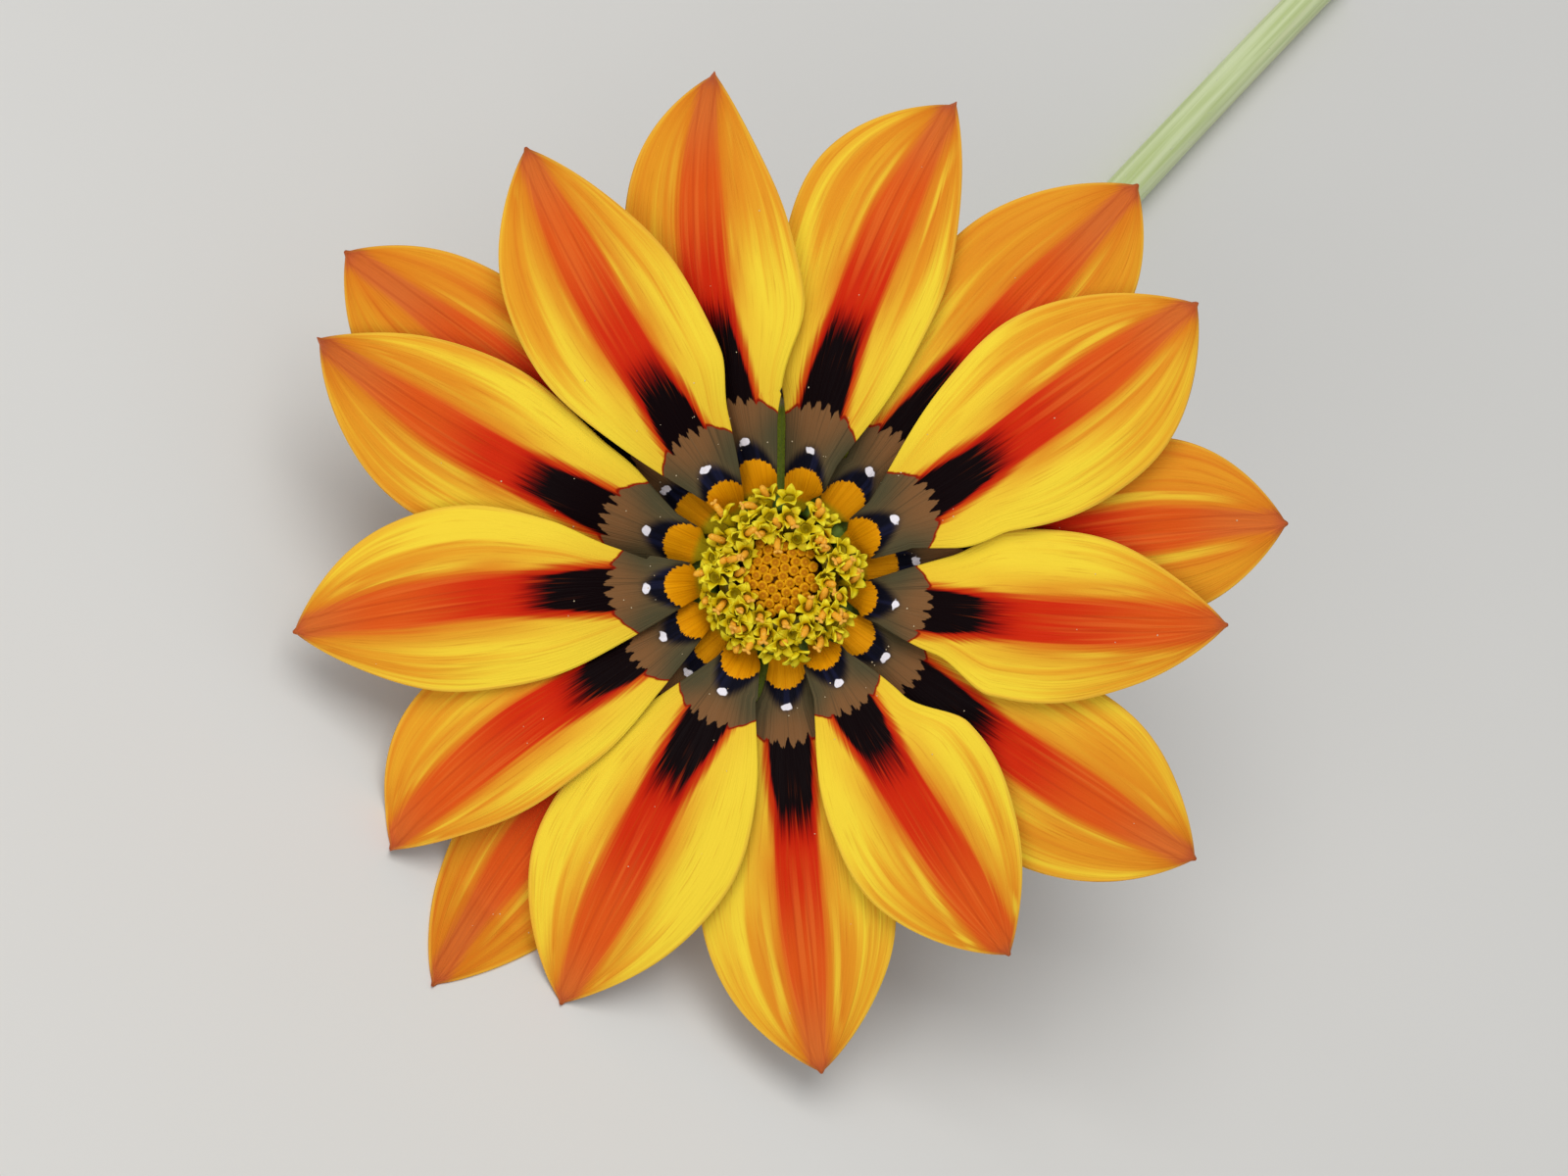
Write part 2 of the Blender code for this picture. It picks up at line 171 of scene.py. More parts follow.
class Dye:
    """Mixes a finish from what a piece's points carry, one small step at a time."""

    def __init__(self, name, roughness=0.5, specular=0.5):
        self.finish = bpy.data.materials.new(name)
        self.finish.use_nodes = True
        self.tree = self.finish.node_tree
        self.shader = self.tree.nodes["Principled BSDF"]
        self.shader.inputs["Roughness"].default_value = roughness
        self.shader.inputs["Specular IOR Level"].default_value = specular

    def step(self, kind, inputs, output=0, **settings):
        node = self.tree.nodes.new(kind)
        for key, value in settings.items():
            setattr(node, key, value)
        for key, value in inputs.items():
            if isinstance(value, bpy.types.NodeSocket):
                self.tree.links.new(value, node.inputs[key])
            else:
                node.inputs[key].default_value = value
        return node.outputs[output]

    def mark(self, name):
        """A number that the piece's points carry."""
        return self.step("ShaderNodeAttribute", {}, 2, attribute_name=name)

    def sum(self, how, first, second=0.0, third=0.0):
        return self.step("ShaderNodeMath", {0: first, 1: second, 2: third}, operation=how)

    def times(self, first, second):
        return self.sum("MULTIPLY", first, second)

    def stir(self, value, noise, much):
        """Moves a value up or down with the noise, by half of much at most."""
        return self.sum("MULTIPLY_ADD", self.sum("SUBTRACT", noise, 0.5), much, value)

    def off(self, value, middle):
        """How far a value is from a middle one."""
        return self.sum("ABSOLUTE", self.sum("SUBTRACT", value, middle))

    def spans(self, value, span, power):
        """A value in spans of a length, raised to a power."""
        return self.sum("POWER", self.sum("DIVIDE", value, span), power)

    def ease(self, value, low, high, start=0.0, end=1.0):
        """Goes softly from start to end as the value goes from low to high."""
        return self.step("ShaderNodeMapRange", {"Value": value, "From Min": low, "From Max": high,
                                                "To Min": start, "To Max": end},
                         interpolation_type="SMOOTHSTEP")

    def lay(self, under, over, share):
        """Lays one colour over another by a share of 0 to 1."""
        return self.step("ShaderNodeMix", {0: share, 6: under, 7: over}, 2, data_type="RGBA")

    def streaks(self, stretch, detail=2.0):
        """Noise from 0 to 1 in the piece's own tissue, finer where the stretch is larger."""
        grain = self.step("ShaderNodeAttribute", {}, 1, attribute_name="grain")
        where = self.step("ShaderNodeVectorMath", {0: grain, 1: stretch}, operation="MULTIPLY")
        return self.step("ShaderNodeTexNoise", {"Vector": where, "Scale": 1.0, "Detail": detail})

    def colour(self, value):
        self.tree.links.new(value, self.shader.inputs["Base Color"])

    def rough(self, value):
        self.tree.links.new(value, self.shader.inputs["Roughness"])

    def relief(self, height, depth):
        """Fine relief, its full height given in millimetres."""
        bump = self.step("ShaderNodeBump", {"Height": height, "Distance": depth * MM})
        self.tree.links.new(bump, self.shader.inputs["Normal"])


def stem_route(lengths):
    """Points and headings of the stem's midline at lengths from the cup."""
    lean = math.radians(90) - HEAD_TILT
    depth = CUP_DEPTH + SEAT_GAP
    start_y = HEAD_CENTRE[1] + depth * math.sin(HEAD_TILT)
    start_z = HEAD_CENTRE[2] - depth * math.cos(HEAD_TILT)
    bend = (start_z - STEM_AXIS_HEIGHT) / (1 - math.cos(lean))
    bend_length = bend * lean
    sway_radius = (STEM_LENGTH - bend_length) ** 2 / (2 * STEM_SWAY)
    down = np.maximum(lean - lengths / bend, 0.0)
    turn = np.maximum(lengths - bend_length, 0.0) / sway_radius
    x = HEAD_CENTRE[0] + sway_radius * (1 - np.cos(turn))
    y = start_y + bend * (math.sin(lean) - np.sin(down)) + sway_radius * np.sin(turn)
    z = (STEM_AXIS_HEIGHT + bend * (1 - np.cos(down))
         - STEM_AXIS_HEIGHT * STEM_TAPER * lengths / STEM_LENGTH)
    points = np.stack([x, y, z], axis=1)
    headings = np.gradient(points, axis=0)
    return points, headings / np.linalg.norm(headings, axis=1, keepdims=True)


def rings_along(route, headings, turns, radius, up=(0.0, 0.0, 1.0)):
    """Rings of points about a midline, each square to its heading."""
    side = np.cross(up, headings)
    side /= np.linalg.norm(side, axis=1, keepdims=True)
    top = np.cross(headings, side)
    out = np.cos(turns)[None, :, None] * side[:, None] + np.sin(turns)[None, :, None] * top[:, None]
    return route[:, None] + radius[..., None] * out


chance = np.random.default_rng(7)
lengths = np.linspace(0.0, STEM_LENGTH, STEM_RINGS)
route, headings = stem_route(lengths)
turns = full_turn(STEM_SIDES)
wander = 0.35 * np.sin(lengths[:, None] / 9)
radius = STEM_SKIN - STEM_RIB * (1 + np.cos(STEM_RIBS * turns + wander)) / 2
radius = radius * (1 - STEM_TAPER * lengths[:, None] / STEM_LENGTH)
skin = rings_along(route, headings, turns, radius)
pith_rings = [route[-1] + (skin[-1] - route[-1]) * inset - headings[-1] * sink
              for inset, sink in PITH_RINGS]
rings = np.concatenate([skin, pith_rings])
pith = np.concatenate([np.zeros(STEM_RINGS), (0.2, 1.0, 1.0)])[:, None]
reach = np.concatenate([lengths, [STEM_LENGTH] * len(PITH_RINGS)])[:, None]
stem_clay = Clay()
stem_clay.add_round(rings, (True, True), pith=pith, grain=np.stack(
    np.broadcast_arrays(np.cos(turns)[None], np.sin(turns)[None], reach), axis=2))

hair_clay = Clay()
for _ in range(STEM_HAIRS):
    at = int(STEM_RINGS * HAIRY_SHARE * chance.random() ** 1.6)
    root = skin[at, chance.integers(STEM_SIDES)]
    out = (root - route[at]) / np.linalg.norm(root - route[at])
    heading = out + chance.uniform(-HAIR_LEAN, HAIR_LEAN) * headings[at]
    tip = root + heading * chance.uniform(*HAIR_LENGTHS)
    if tip[2] > HAIR_CLEARANCE:
        across = np.cross(out, headings[at])
        foot = [root - HAIR_SUNK * out + HAIR_FOOT * (math.cos(turn) * across
                                                      + math.sin(turn) * headings[at])
                for turn in (0.0, 2.1, 4.2)]
        hair_clay.add(np.array([*foot, tip]), [(0, 3, 1), (1, 3, 2), (2, 3, 0)])

stem_green = Dye("pale stem green", roughness=0.42, specular=0.4)
stripe = stem_green.streaks((3.2, 3.2, 0.035), 3)
blush = stem_green.streaks((0.7, 0.7, 0.02), 2)
green = stem_green.lay(shade(196, 213, 140), shade(226, 238, 186),
                       stem_green.ease(stripe, 0.3, 0.68))
green = stem_green.lay(green, shade(208, 206, 150), stem_green.ease(blush, 0.5, 0.7, 0.0, 0.6))
green = stem_green.lay(green, shade(226, 231, 198), stem_green.mark("pith"))
stem_green.colour(green)
stem_green.relief(stem_green.streaks((9.0, 9.0, 0.12), 2), 0.05)
soft_hair = Dye("soft white hair", roughness=0.6, specular=0.3)
soft_hair.colour(soft_hair.lay(shade(222, 228, 204), shade(246, 248, 238), soft_hair.step(
    "ShaderNodeTexNoise", {"Scale": 900.0})))
stem = stem_clay.make("stem_stalk", ON_TABLE, stem_green.finish)
stem_hairs = hair_clay.make("stem_hairs", ON_TABLE, soft_hair.finish)
for piece in (stem, stem_hairs):
    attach(piece, "root")
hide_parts("stem")

# The cup is the green involucre that holds the head together: bracts grown into one bowl, each with
# a free pointed lobe between two rays, and twelve short outer bracts that stand off its side. It
# is firm matte tissue, paler on the keels, on top of the stem.
CUP_PROFILE = (
    (2.2, -13.2), (2.4, -12.6), (3.1, -11.4), (4.3, -9.6), (5.7, -7.0), (6.42, -4.5), (6.62, -2.0),
    (6.42, -0.66), (6.15, -0.36), (5.38, -0.36), (5.16, -0.6), (5.05, -1.1), (4.95, -1.45),
)
CUP_RINGS = 72
CUP_SIDES = 192
CUP_INSET = 0.05
FURROW = 0.2
BRACT_DROP = 1.4
LOBE_ROOT = 5.6
LOBE_TIP = 14.0
LOBE_HALF = 1.05
LOBE_TAPER = 0.8
LOBE_STAGGER = 0.2
LOBE_LIFT = 0.05
LOBE_THICK = 0.5
# How much longer and wider the lobes are than the solid ones, so that their points fill the slits
# between the rays.
LOBE_POINT = 1.1
LOBE_WIDER = 0.1
OUTER_BRACTS = 12
OUTER_ROOT = (5.2, -5.9)
OUTER_TIP = (9.4, -2.4)
OUTER_HALF = 1.15
OUTER_FLARE = 1.3
OUTER_TAPER = 0.7
OUTER_THICK = 0.45
OUTER_LIFT = 0.1
OUTER_POINT = 0.05
RAY_ANGLES = (104.0, 76.0, 49.0, 25.6, 6.2, -14.1, -37.8, -60.5,
              -86.7, -115.0, -134.0, -152.8, -174.6, 161.1, 142.5, 124.4)
# Two lobes show from above: after which ray, at what angle, how far out and how wide, and which
# of the two rays draws back past the end of the slit.
SEEN_LOBES = ((0, 89.0, 14.0, 0.31, 0), (8, -99.2, 9.4, 0.3, 9))
ARCH_START = 5.4
ARCH_RISE = 3.4
ARCH_RUN = 14.0
CREST = 20.0
DROOP = 1.6
DROOP_RUN = 20.0


def polar(distance, angle):
    """A point of the head's plane, from its distance and its angle in degrees."""
    return distance * np.array((math.cos(math.radians(angle)), math.sin(math.radians(angle))))


def arch(distance):
    """Height of the lowest layer of rays at a distance from the head's axis."""
    rise = ARCH_RISE * smooth((distance - ARCH_START) / ARCH_RUN)
    return rise - DROOP * (np.maximum(distance - CREST, 0.0) / DROOP_RUN) ** 2


def spread_along(profile, count):
    """Evenly spaced points along a profile of radius and height."""
    profile = np.array(profile)
    steps = np.concatenate([[0.0], np.cumsum(np.linalg.norm(np.diff(profile, axis=0), axis=1))])
    where = np.linspace(0.0, steps[-1], count)
    return np.stack([np.interp(where, steps, profile[:, axis]) for axis in (0, 1)], axis=1)


def spun(radius, turns, height):
    """Rings of points about the axis, at a radius and a height for each."""
    places = np.broadcast_arrays(radius * np.cos(turns), radius * np.sin(turns), height)
    return np.stack(places, axis=2)


def bract(clay, angle, distance, height, half, thick):
    """A green blade with a keel that points out from the axis; its marks run from root to tip."""
    across = np.linspace(-1.0, 1.0, 11)[None]
    along = np.linspace(0.0, 1.0, len(distance))[:, None]
    out = polar(1.0, angle)
    square = np.array((out[1], -out[0]))
    spot = out * distance[:, None, None] + square * (across * half[:, None])[..., None]
    low = height[:, None] - 0.12 * across ** 2 * half[:, None]
    body = thick * (1 - 0.6 * across ** 2) * (1 - 0.5 * along) + 0.06 * np.exp(-(across / 0.16) ** 2)
    sheets = [np.concatenate([spot, level[..., None]], axis=2) for level in (low + body, low)]
    grain = np.stack(np.broadcast_arrays(across, distance[:, None], angle), axis=2)
    clay.add_sheet(*sheets, grain=grain, along=along, keel=np.exp(-(across / 0.25) ** 2))


lobe_angles = [angle - ((angle - after) % 360) / 2
               for angle, after in zip(RAY_ANGLES, RAY_ANGLES[1:] + RAY_ANGLES[:1])]
for seam, angle, *_ in SEEN_LOBES:
    lobe_angles[seam] = angle
turns = full_turn(CUP_SIDES)
rib_places = np.sort(np.radians(lobe_angles) % (2 * math.pi))
rib_places = np.concatenate([rib_places[-1:] - 2 * math.pi, rib_places, rib_places[:1] + 2 * math.pi])
rib_share = np.interp(turns, rib_places, np.arange(len(rib_places))) % 1.0
from_rib = np.minimum(rib_share, 1 - rib_share)
profile = spread_along(CUP_PROFILE, CUP_RINGS)
fade = smooth((profile[:, 1] + 13.0) / 4.5) * smooth((6.45 - profile[:, 0]) / 0.1 + 1)
furrow = FURROW * (2 * from_rib) ** 5 - 0.05 * np.exp(-(from_rib / 0.07) ** 2)
radius = profile[:, :1] - CUP_INSET - furrow * fade[:, None]
cup_clay = Clay()
cup_clay.add_round(spun(radius, turns, profile[:, 1:]), (True, True), along=0.0,
                   keel=np.exp(-(from_rib / 0.12) ** 2), grain=spun(5.0, turns, profile[:, 1:]))
along = np.linspace(0.0, 1.0, 30)
for number, angle in enumerate(lobe_angles):
    distance = LOBE_ROOT + (LOBE_TIP + LOBE_POINT - LOBE_ROOT) * along
    height = arch(distance) - BRACT_DROP - LOBE_STAGGER * (number % 2) + LOBE_LIFT
    half = LOBE_HALF * (1 - along) ** LOBE_TAPER + LOBE_WIDER
    bract(cup_clay, angle, distance, height, half, LOBE_THICK)
for number in range(OUTER_BRACTS):
    bract(cup_clay, 360 * number / OUTER_BRACTS,
          OUTER_ROOT[0] + (OUTER_TIP[0] - OUTER_ROOT[0]) * along ** OUTER_FLARE,
          OUTER_ROOT[1] + (OUTER_TIP[1] - OUTER_ROOT[1]) * along + OUTER_LIFT,
          OUTER_HALF * (1 - along) ** OUTER_TAPER + OUTER_POINT, OUTER_THICK)

cup_green = Dye("leafy cup green", roughness=0.55, specular=0.25)
mottle = cup_green.streaks((0.5, 0.5, 0.35), 3)
veins = cup_green.streaks((6.0, 6.0, 0.3), 2)
keel, tipward = cup_green.mark("keel"), cup_green.mark("along")
green = cup_green.lay(shade(66, 98, 22), shade(102, 134, 34), cup_green.ease(mottle, 0.35, 0.65))
green = cup_green.lay(green, shade(158, 190, 50), cup_green.ease(tipward, 0.02, 0.3))
green = cup_green.lay(green, shade(52, 78, 22), cup_green.ease(veins, 0.45, 0.7, 0.0, 0.45))
green = cup_green.lay(green, shade(134, 160, 66), cup_green.times(keel, 0.7))
# The points of the bracts get a pale painted highlight and then a dark brown painted shade, which
# darkens the slits between the rays where the points show.
green = cup_green.lay(green, shade(176, 184, 140), cup_green.ease(tipward, 0.8, 0.87))
green = cup_green.lay(green, shade(70, 50, 24), cup_green.ease(tipward, 0.88, 0.92))
cup_green.colour(green)
cup_green.relief(cup_green.sum("ADD", veins, mottle), 0.06)
cup = cup_clay.make("green_cup", HEAD_PLACE, cup_green.finish)
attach(cup, "root")
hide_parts("involucre")

# The rays are sixteen strap-like florets that make the show of the flower: a narrow claw, a wide
# blade of soft satin tissue and a pointed tip. Each springs from the rim of the cup and shingles
# over its neighbours. Its colours are grown in, from an orange spot at the claw to a red stripe.
RAY_ROOT = 5.4
ROOT_HALF = 0.65
TIP_HALF = 0.2
TIP_ROUNDING = 0.95
CAMBER = 0.35
LAYER_STEP = 1.8
LAYER_START = 5.4
LAYER_RUN = 3.6
FLOOR_BLEND = 0.5
RAY_COLUMNS = 56
RAY_ROWS = 120
RAY_LIFT = 0.05
RAY_MARGIN = 0.16
RAY_BODY = 0.3
NIB = 0.005
CLAW_OVERLAP = 0.16
# How the margins go on past the slit of a lobe that shows: one draws back over a run, and the
# other tucks in under it.
SEAM_DRIFT = 2.2
SEAM_RUN = 9.0
SEAM_TUCK = 0.5
SLIT_ROUNDING = 2.2
# How far from the axis the claws close up, over what run that fades, and where the waists end.
CLAWS = (5.7, 11.5)
CLAW_FADE = 1.5
WAIST_END = 17.5
WAIST_RUN = 4.5
# How far the margins ripple sideways and wave up and down, and how deep the midrib's groove, the
# pleats and two sorts of veins are.
RIPPLE = 0.07
WAVE = 0.1
GROOVE = 0.12
PLEAT_DEPTHS = (0.05, 0.028, 0.016)
# Where the markings are on a ray that has them at their usual places.
DOT_AT = 10.5
BROWN_TO = 13.7
BLACK_TO = 19.0
DOT_HALVES = (0.3, 0.43)
TOOTH = 0.41
FRILL = 0.29
# Each ray, clockwise from the top: the angle and the distance of its tip, how far its midrib bows
# to the left, its widest half and the place of that on the left and on the right, and the layers
# of its left and right edges.
RAY_SHAPES = (
    (97.4, 40.1, 0.95, (6.4, 0.66), (7.2, 0.48), (0, 1)),
    (69.6, 39.9, 0.4, (7.5, 0.68), (6.0, 0.55), (0, 1)),
    (47.5, 42.1, 0.0, (7.4, 0.62), (6.6, 0.70), (0, 0)),
    (33.2, 39.3, 0.4, (7.9, 0.60), (7.8, 0.62), (1, 1.5)),
    (5.9, 40.5, 0.2, (7.5, 0.70), (6.7, 0.66), (0, 0)),
    (-6.2, 35.5, 0.25, (7.2, 0.55), (6.3, 0.50), (1, 1)),
    (-34.2, 39.9, 0.0, (7.4, 0.62), (7.5, 0.62), (0, 0)),
    (-58.7, 34.9, 0.0, (7.3, 0.52), (6.9, 0.60), (1, 1)),
    (-85.1, 39.5, 0.0, (7.2, 0.60), (8.0, 0.62), (0, 0)),
    (-117.0, 37.8, -0.9, (8.0, 0.55), (7.3, 0.60), (1, 1)),
    (-130.2, 41.7, -0.9, (7.4, 0.62), (5.4, 0.62), (0, 0)),
    (-144.9, 37.4, 0.0, (5.3, 0.55), (7.6, 0.66), (1.5, 0)),
    (-173.4, 38.5, -0.55, (7.0, 0.55), (7.5, 0.62), (1, 1)),
    (152.8, 41.0, 0.0, (7.1, 0.60), (6.7, 0.60), (0, 1)),
    (143.2, 43.0, 0.0, (7.4, 0.70), (5.8, 0.66), (0, 0)),
    (120.6, 39.1, 0.0, (7.3, 0.60), (6.3, 0.52), (1.5, 1.5)),
)
RAYS = [(angle, *shape) for angle, shape in zip(RAY_ANGLES, RAY_SHAPES)]
# The markings of each ray: how far out its white dot is and how far to the right, where its brown
# zone and its black tongue end, how orange and dark its left and right lobe are (partly the ray's own
# tone, partly painted shade, most on the rays that lie under others), and how far its red stripe
# swings to the right.
MARKINGS = (
    (10.9, 0.3, 14.4, 20.8, 0.75, 0.5, -0.45), (10.2, 0.1, 14.0, 20.2, 0.5, 0.5, 0.0),
    (10.9, 0.0, 14.8, 21.3, 0.75, 0.8, 0.05), (10.1, 0.2, 13.8, 19.2, 0.4, 0.35, -0.4),
    (10.9, 0.1, 14.6, 20.5, 0.95, 0.9, -0.5), (9.4, 0.2, 12.3, 16.5, 0.5, 0.4, -0.1),
    (10.6, 0.05, 13.7, 20.0, 0.45, 0.6, 0.15), (9.7, 0.05, 12.2, 16.3, 0.25, 0.4, -0.1),
    (10.4, 0.0, 13.5, 19.2, 0.4, 0.4, 0.25), (10.2, -0.35, 12.9, 18.0, 0.0, 0.15, -0.1),
    (10.5, -0.45, 13.5, 19.0, 0.95, 1.0, 0.1), (10.3, 0.1, 13.4, 17.8, 0.35, 0.5, 0.5),
    (10.5, -0.25, 13.7, 18.8, 0.25, 0.25, 0.35), (11.0, -0.15, 14.9, 20.7, 0.5, 0.35, 0.0),
    (11.3, 0.0, 15.0, 20.5, 0.85, 0.9, 0.0), (10.2, -0.05, 13.5, 18.2, 0.5, 0.5, -0.3),
)
# How much the left and the right margin of some rays draw in where the claw meets the blade.
WAISTS = {3: (0.0, -0.25), 5: (0.16, 0.33), 7: (0.33, 0.0), 12: (0.0, 0.12), 13: (0.0, -0.1),
          15: (0.0, 0.16)}


def lay_down(x, y, height):
    """Bends what would sink through the table smoothly onto it."""
    up_slope = x * math.sin(HEAD_TURN) + y * math.cos(HEAD_TURN)
    table = -(HEAD_CENTRE[2] + up_slope * math.sin(HEAD_TILT)) / math.cos(HEAD_TILT)
    clear = height - table
    settled = table + np.clip(clear + FLOOR_BLEND, 0.0, None) ** 2 / (4 * FLOOR_BLEND)
    return np.where(clear > FLOOR_BLEND, height, settled)


def half_width(along, widest, place):
    """Half the width of a ray at a share of its length."""
    power = TIP_ROUNDING * place / (1 - place)
    blade = np.minimum(along / (1 - NIB), 1.0)
    swell = (blade / place) ** power * ((1 - blade) / (1 - place)) ** TIP_ROUNDING
    half = ROOT_HALF * (1 - blade) + TIP_HALF * blade + (widest - ROOT_HALF * (1 - place)) * swell
    return np.maximum(half - 0.08 * blade ** 40, 0.12 + 16.0 * (1 - along) * (along > 0.96))


def midrib(ray, along):
    """Places and headings of a ray's midrib, a quadratic curve from root to tip."""
    root_angle, tip_angle, reach, bow = ray[:4]
    root, tip = polar(RAY_ROOT, root_angle), polar(reach, tip_angle)
    span = tip - root
    length = np.linalg.norm(span)
    left = np.array((-span[1], span[0])) / length
    middle = root + polar(0.5 * length, root_angle) + 2 * bow * left
    along = along[:, None]
    place = (1 - along) ** 2 * root + 2 * along * (1 - along) * middle + along ** 2 * tip
    heading = (1 - along) * (middle - root) + along * (tip - middle)
    return place, heading / np.linalg.norm(heading, axis=1, keepdims=True)


def margins(number, ray, along, place, right):
    """How far the left and the right margin of a ray stand off its midrib."""
    (left_widest, left_where), (right_widest, right_where) = ray[4:6]
    left_half = half_width(along, left_widest, left_where)
    right_half = half_width(along, right_widest, right_where)
    distance = np.linalg.norm(place, axis=1)
    # Near the cup each ray is as wide as its share of the circle, so that the claws close up.
    close_up = smooth((distance - CLAWS[0]) / CLAW_FADE) * smooth((CLAWS[1] - distance) / CLAW_FADE)
    to_left = (RAYS[number - 1][0] - ray[0]) % 360
    to_right = (ray[0] - RAYS[(number + 1) % len(RAYS)][0]) % 360
    waists = WAISTS.get(number, (0.0, 0.0))
    for half, spread, waist in ((left_half, to_left, waists[0]), (right_half, to_right, waists[1])):
        half *= 1 - waist * smooth((WAIST_END - distance) / WAIST_RUN)
        share = distance * math.tan(math.radians(spread / 2)) + CLAW_OVERLAP
        np.maximum(half, share * close_up * (1 + 2 * max(-waist, 0.0)), out=half)
    # Beside the two green lobes that show, the margins keep to a line through the axis.
    for seam, angle, end, width, draws_back in SEEN_LOBES:
        if number in (seam, seam + 1):
            half = right_half if number == seam else left_half
            line = polar(1.0, angle + 90)
            beside, slant = np.abs(place @ line), np.abs(right @ line)
            lobe_share = np.clip((distance - LOBE_ROOT) / (LOBE_TIP - LOBE_ROOT), 0.0, 1.0)
            gap = np.minimum(LOBE_HALF * (1 - lobe_share) ** LOBE_TAPER,
                             width * np.sqrt(np.clip((end - distance) / SLIT_ROUNDING, 0.0, 1.0)))
            at_line = smooth(distance - 6) * smooth((end - distance) / 0.8 + 1)
            half[:] = half * (1 - at_line) + (beside - gap) / slant * at_line
            past = (distance - end) / SEAM_RUN
            if number == draws_back:
                drifted = (beside + SEAM_DRIFT * smooth(past)) / slant
                blend = 0.25 * np.clip(1 - np.abs(half - drifted), 0.0, None) ** 2
                half[:] = np.where((past > 0) & (past < 1.4), np.minimum(half, drifted) - blend, half)
            else:
                tucked = (beside + SEAM_TUCK * smooth((distance - end) / 1.5)) / slant
                half[:] = np.where((past > 0) & (past < 0.7), np.maximum(half, tucked), half)
    return left_half, right_half


def ray_sheets(number, ray, across, along, chance):
    """The upper and lower side of a ray, with how far out and how far sideways each point is."""
    place, heading = midrib(ray, along)
    right = np.stack([heading[:, 1], -heading[:, 0]], axis=1)
    left_half, right_half = margins(number, ray, along, place, right)
    phase = chance.uniform(0, 6.3, 6)
    ripple = RIPPLE * np.sin(along * 19 + phase[0]) * np.sin(math.pi * along)
    left_half, right_half = left_half + ripple, right_half - ripple
    half = np.where(across > 0, right_half[:, None], left_half[:, None])
    sideways = across * half
    spot = place[:, None] + right[:, None] * sideways[..., None]
    distance = np.linalg.norm(spot, axis=2)
    left_layer, right_layer = ray[6]
    layer = left_layer + (right_layer - left_layer) * smooth((across + 1) / 2)
    low = arch(distance) + layer * LAYER_STEP * smooth((distance - LAYER_START) / LAYER_RUN)
    low = low - CAMBER * across ** 2 * np.sin(math.pi * along)[:, None]
    blade_share = smooth((distance - 12) / 12)
    wave = WAVE * across ** 2 * np.sin(along[:, None] * 14 + phase[1] + 1.6 * across)
    low = lay_down(spot[..., 0], spot[..., 1], low + np.maximum(wave, -0.04) * blade_share) + RAY_LIFT
    # The tissue is thickest beside the midrib and thins to its margins, in pleats and fine veins.
    reach = np.abs(across)
    groove = GROOVE * np.exp(-(sideways / 0.9) ** 2) * blade_share
    body = RAY_MARGIN + RAY_BODY * (1 - reach ** 2.2) - groove
    pleats = PLEAT_DEPTHS[0] * np.cos(7.5 * reach * (1 + 0.1 * np.sin(phase[2])) + phase[3])
    pleats = pleats + PLEAT_DEPTHS[1] * np.cos(17 * across + phase[4])
    pleats = pleats + PLEAT_DEPTHS[2] * np.cos(39 * across + phase[5])
    pleats = pleats * blade_share * (1 - reach ** 6) * np.sin(math.pi * along)[:, None] ** 0.5
    high = low + body + pleats
    sheets = [np.concatenate([spot, height[..., None]], axis=2) for height in (high, low)]
    return *sheets, distance, sideways, half


across = np.linspace(-1.0, 1.0, RAY_COLUMNS + 1)[None]
along = np.linspace(0.0, 1.0, RAY_ROWS + 1)
chance = np.random.default_rng(16)
ray_tops = []

petal = Dye("satin petal", roughness=0.5, specular=0.05)
out, sideways, edge = petal.mark("out"), petal.mark("sideways"), petal.mark("edge")
away = petal.sum("ABSOLUTE", sideways)
fine = petal.streaks((21.0, 0.06, 9.0), 2)
hair = petal.streaks((48.0, 0.25, 9.0), 1)
broad = petal.streaks((4.2, 0.03, 9.0), 1)
# The lobes run from yellow to orange outward, in broad and fine streaks. Each ray's lobes are also
# more orange and darker by its own tone and by painted shade on the rays that lie under others.
orange = petal.sum("MULTIPLY_ADD", petal.mark("gold"), 0.62, -0.32)
orange = petal.sum("ADD", orange, petal.ease(out, 18.0, 33.0, 0.0, 0.78))
orange = petal.stir(petal.stir(orange, broad, 2.2), fine, 1.1)
lobes = petal.lay(shade(253, 220, 60), shade(238, 158, 38), petal.ease(orange, 0.0, 0.9))
lobes = petal.lay(lobes, shade(226, 118, 30), petal.ease(orange, 0.9, 1.7))
# The red stripe narrows to the tip; orange fades out beside it, with a yellow gleam along it.
red_half = petal.sum("ADD", petal.ease(out, 16.0, 22.0, 2.08, 1.78),
                     petal.ease(out, 28.0, 39.0, 0.0, -0.95))
red_place = petal.sum("SUBTRACT", petal.stir(away, fine, 0.9), red_half)
beside = petal.times(petal.ease(red_place, 2.8, 0.2), petal.ease(out, 16.0, 24.0, 0.2, 0.85))
lobes = petal.lay(lobes, shade(228, 128, 30), beside)
gleam = petal.times(petal.ease(petal.off(red_place, 0.85), 0.5, 0.1), petal.ease(broad, 0.42, 0.62))
gleam_reach = petal.times(petal.ease(out, 22.0, 27.0), petal.ease(out, 38.5, 32.0, 0.0, 0.95))
lobes = petal.lay(lobes, shade(246, 202, 56), petal.times(gleam, gleam_reach))
red = petal.lay(shade(196, 20, 4), shade(214, 44, 10), petal.ease(out, 18.0, 23.0))
red = petal.lay(red, shade(226, 88, 24), petal.ease(out, 23.0, 31.0))
red = petal.lay(red, shade(218, 110, 46), petal.ease(out, 31.0, 38.0))
glow = petal.times(petal.ease(fine, 0.48, 0.68), petal.ease(out, 20.0, 27.0, 0.0, 0.4))
red = petal.lay(red, shade(240, 122, 48), glow)
vein = petal.times(petal.ease(petal.off(away, 0.55), 0.16, 0.02),
                   petal.ease(out, 20.0, 26.0, 0.0, 0.2))
red = petal.lay(red, shade(160, 34, 12), vein)
blade = petal.lay(lobes, red, petal.ease(red_place, 0.45, -0.25))
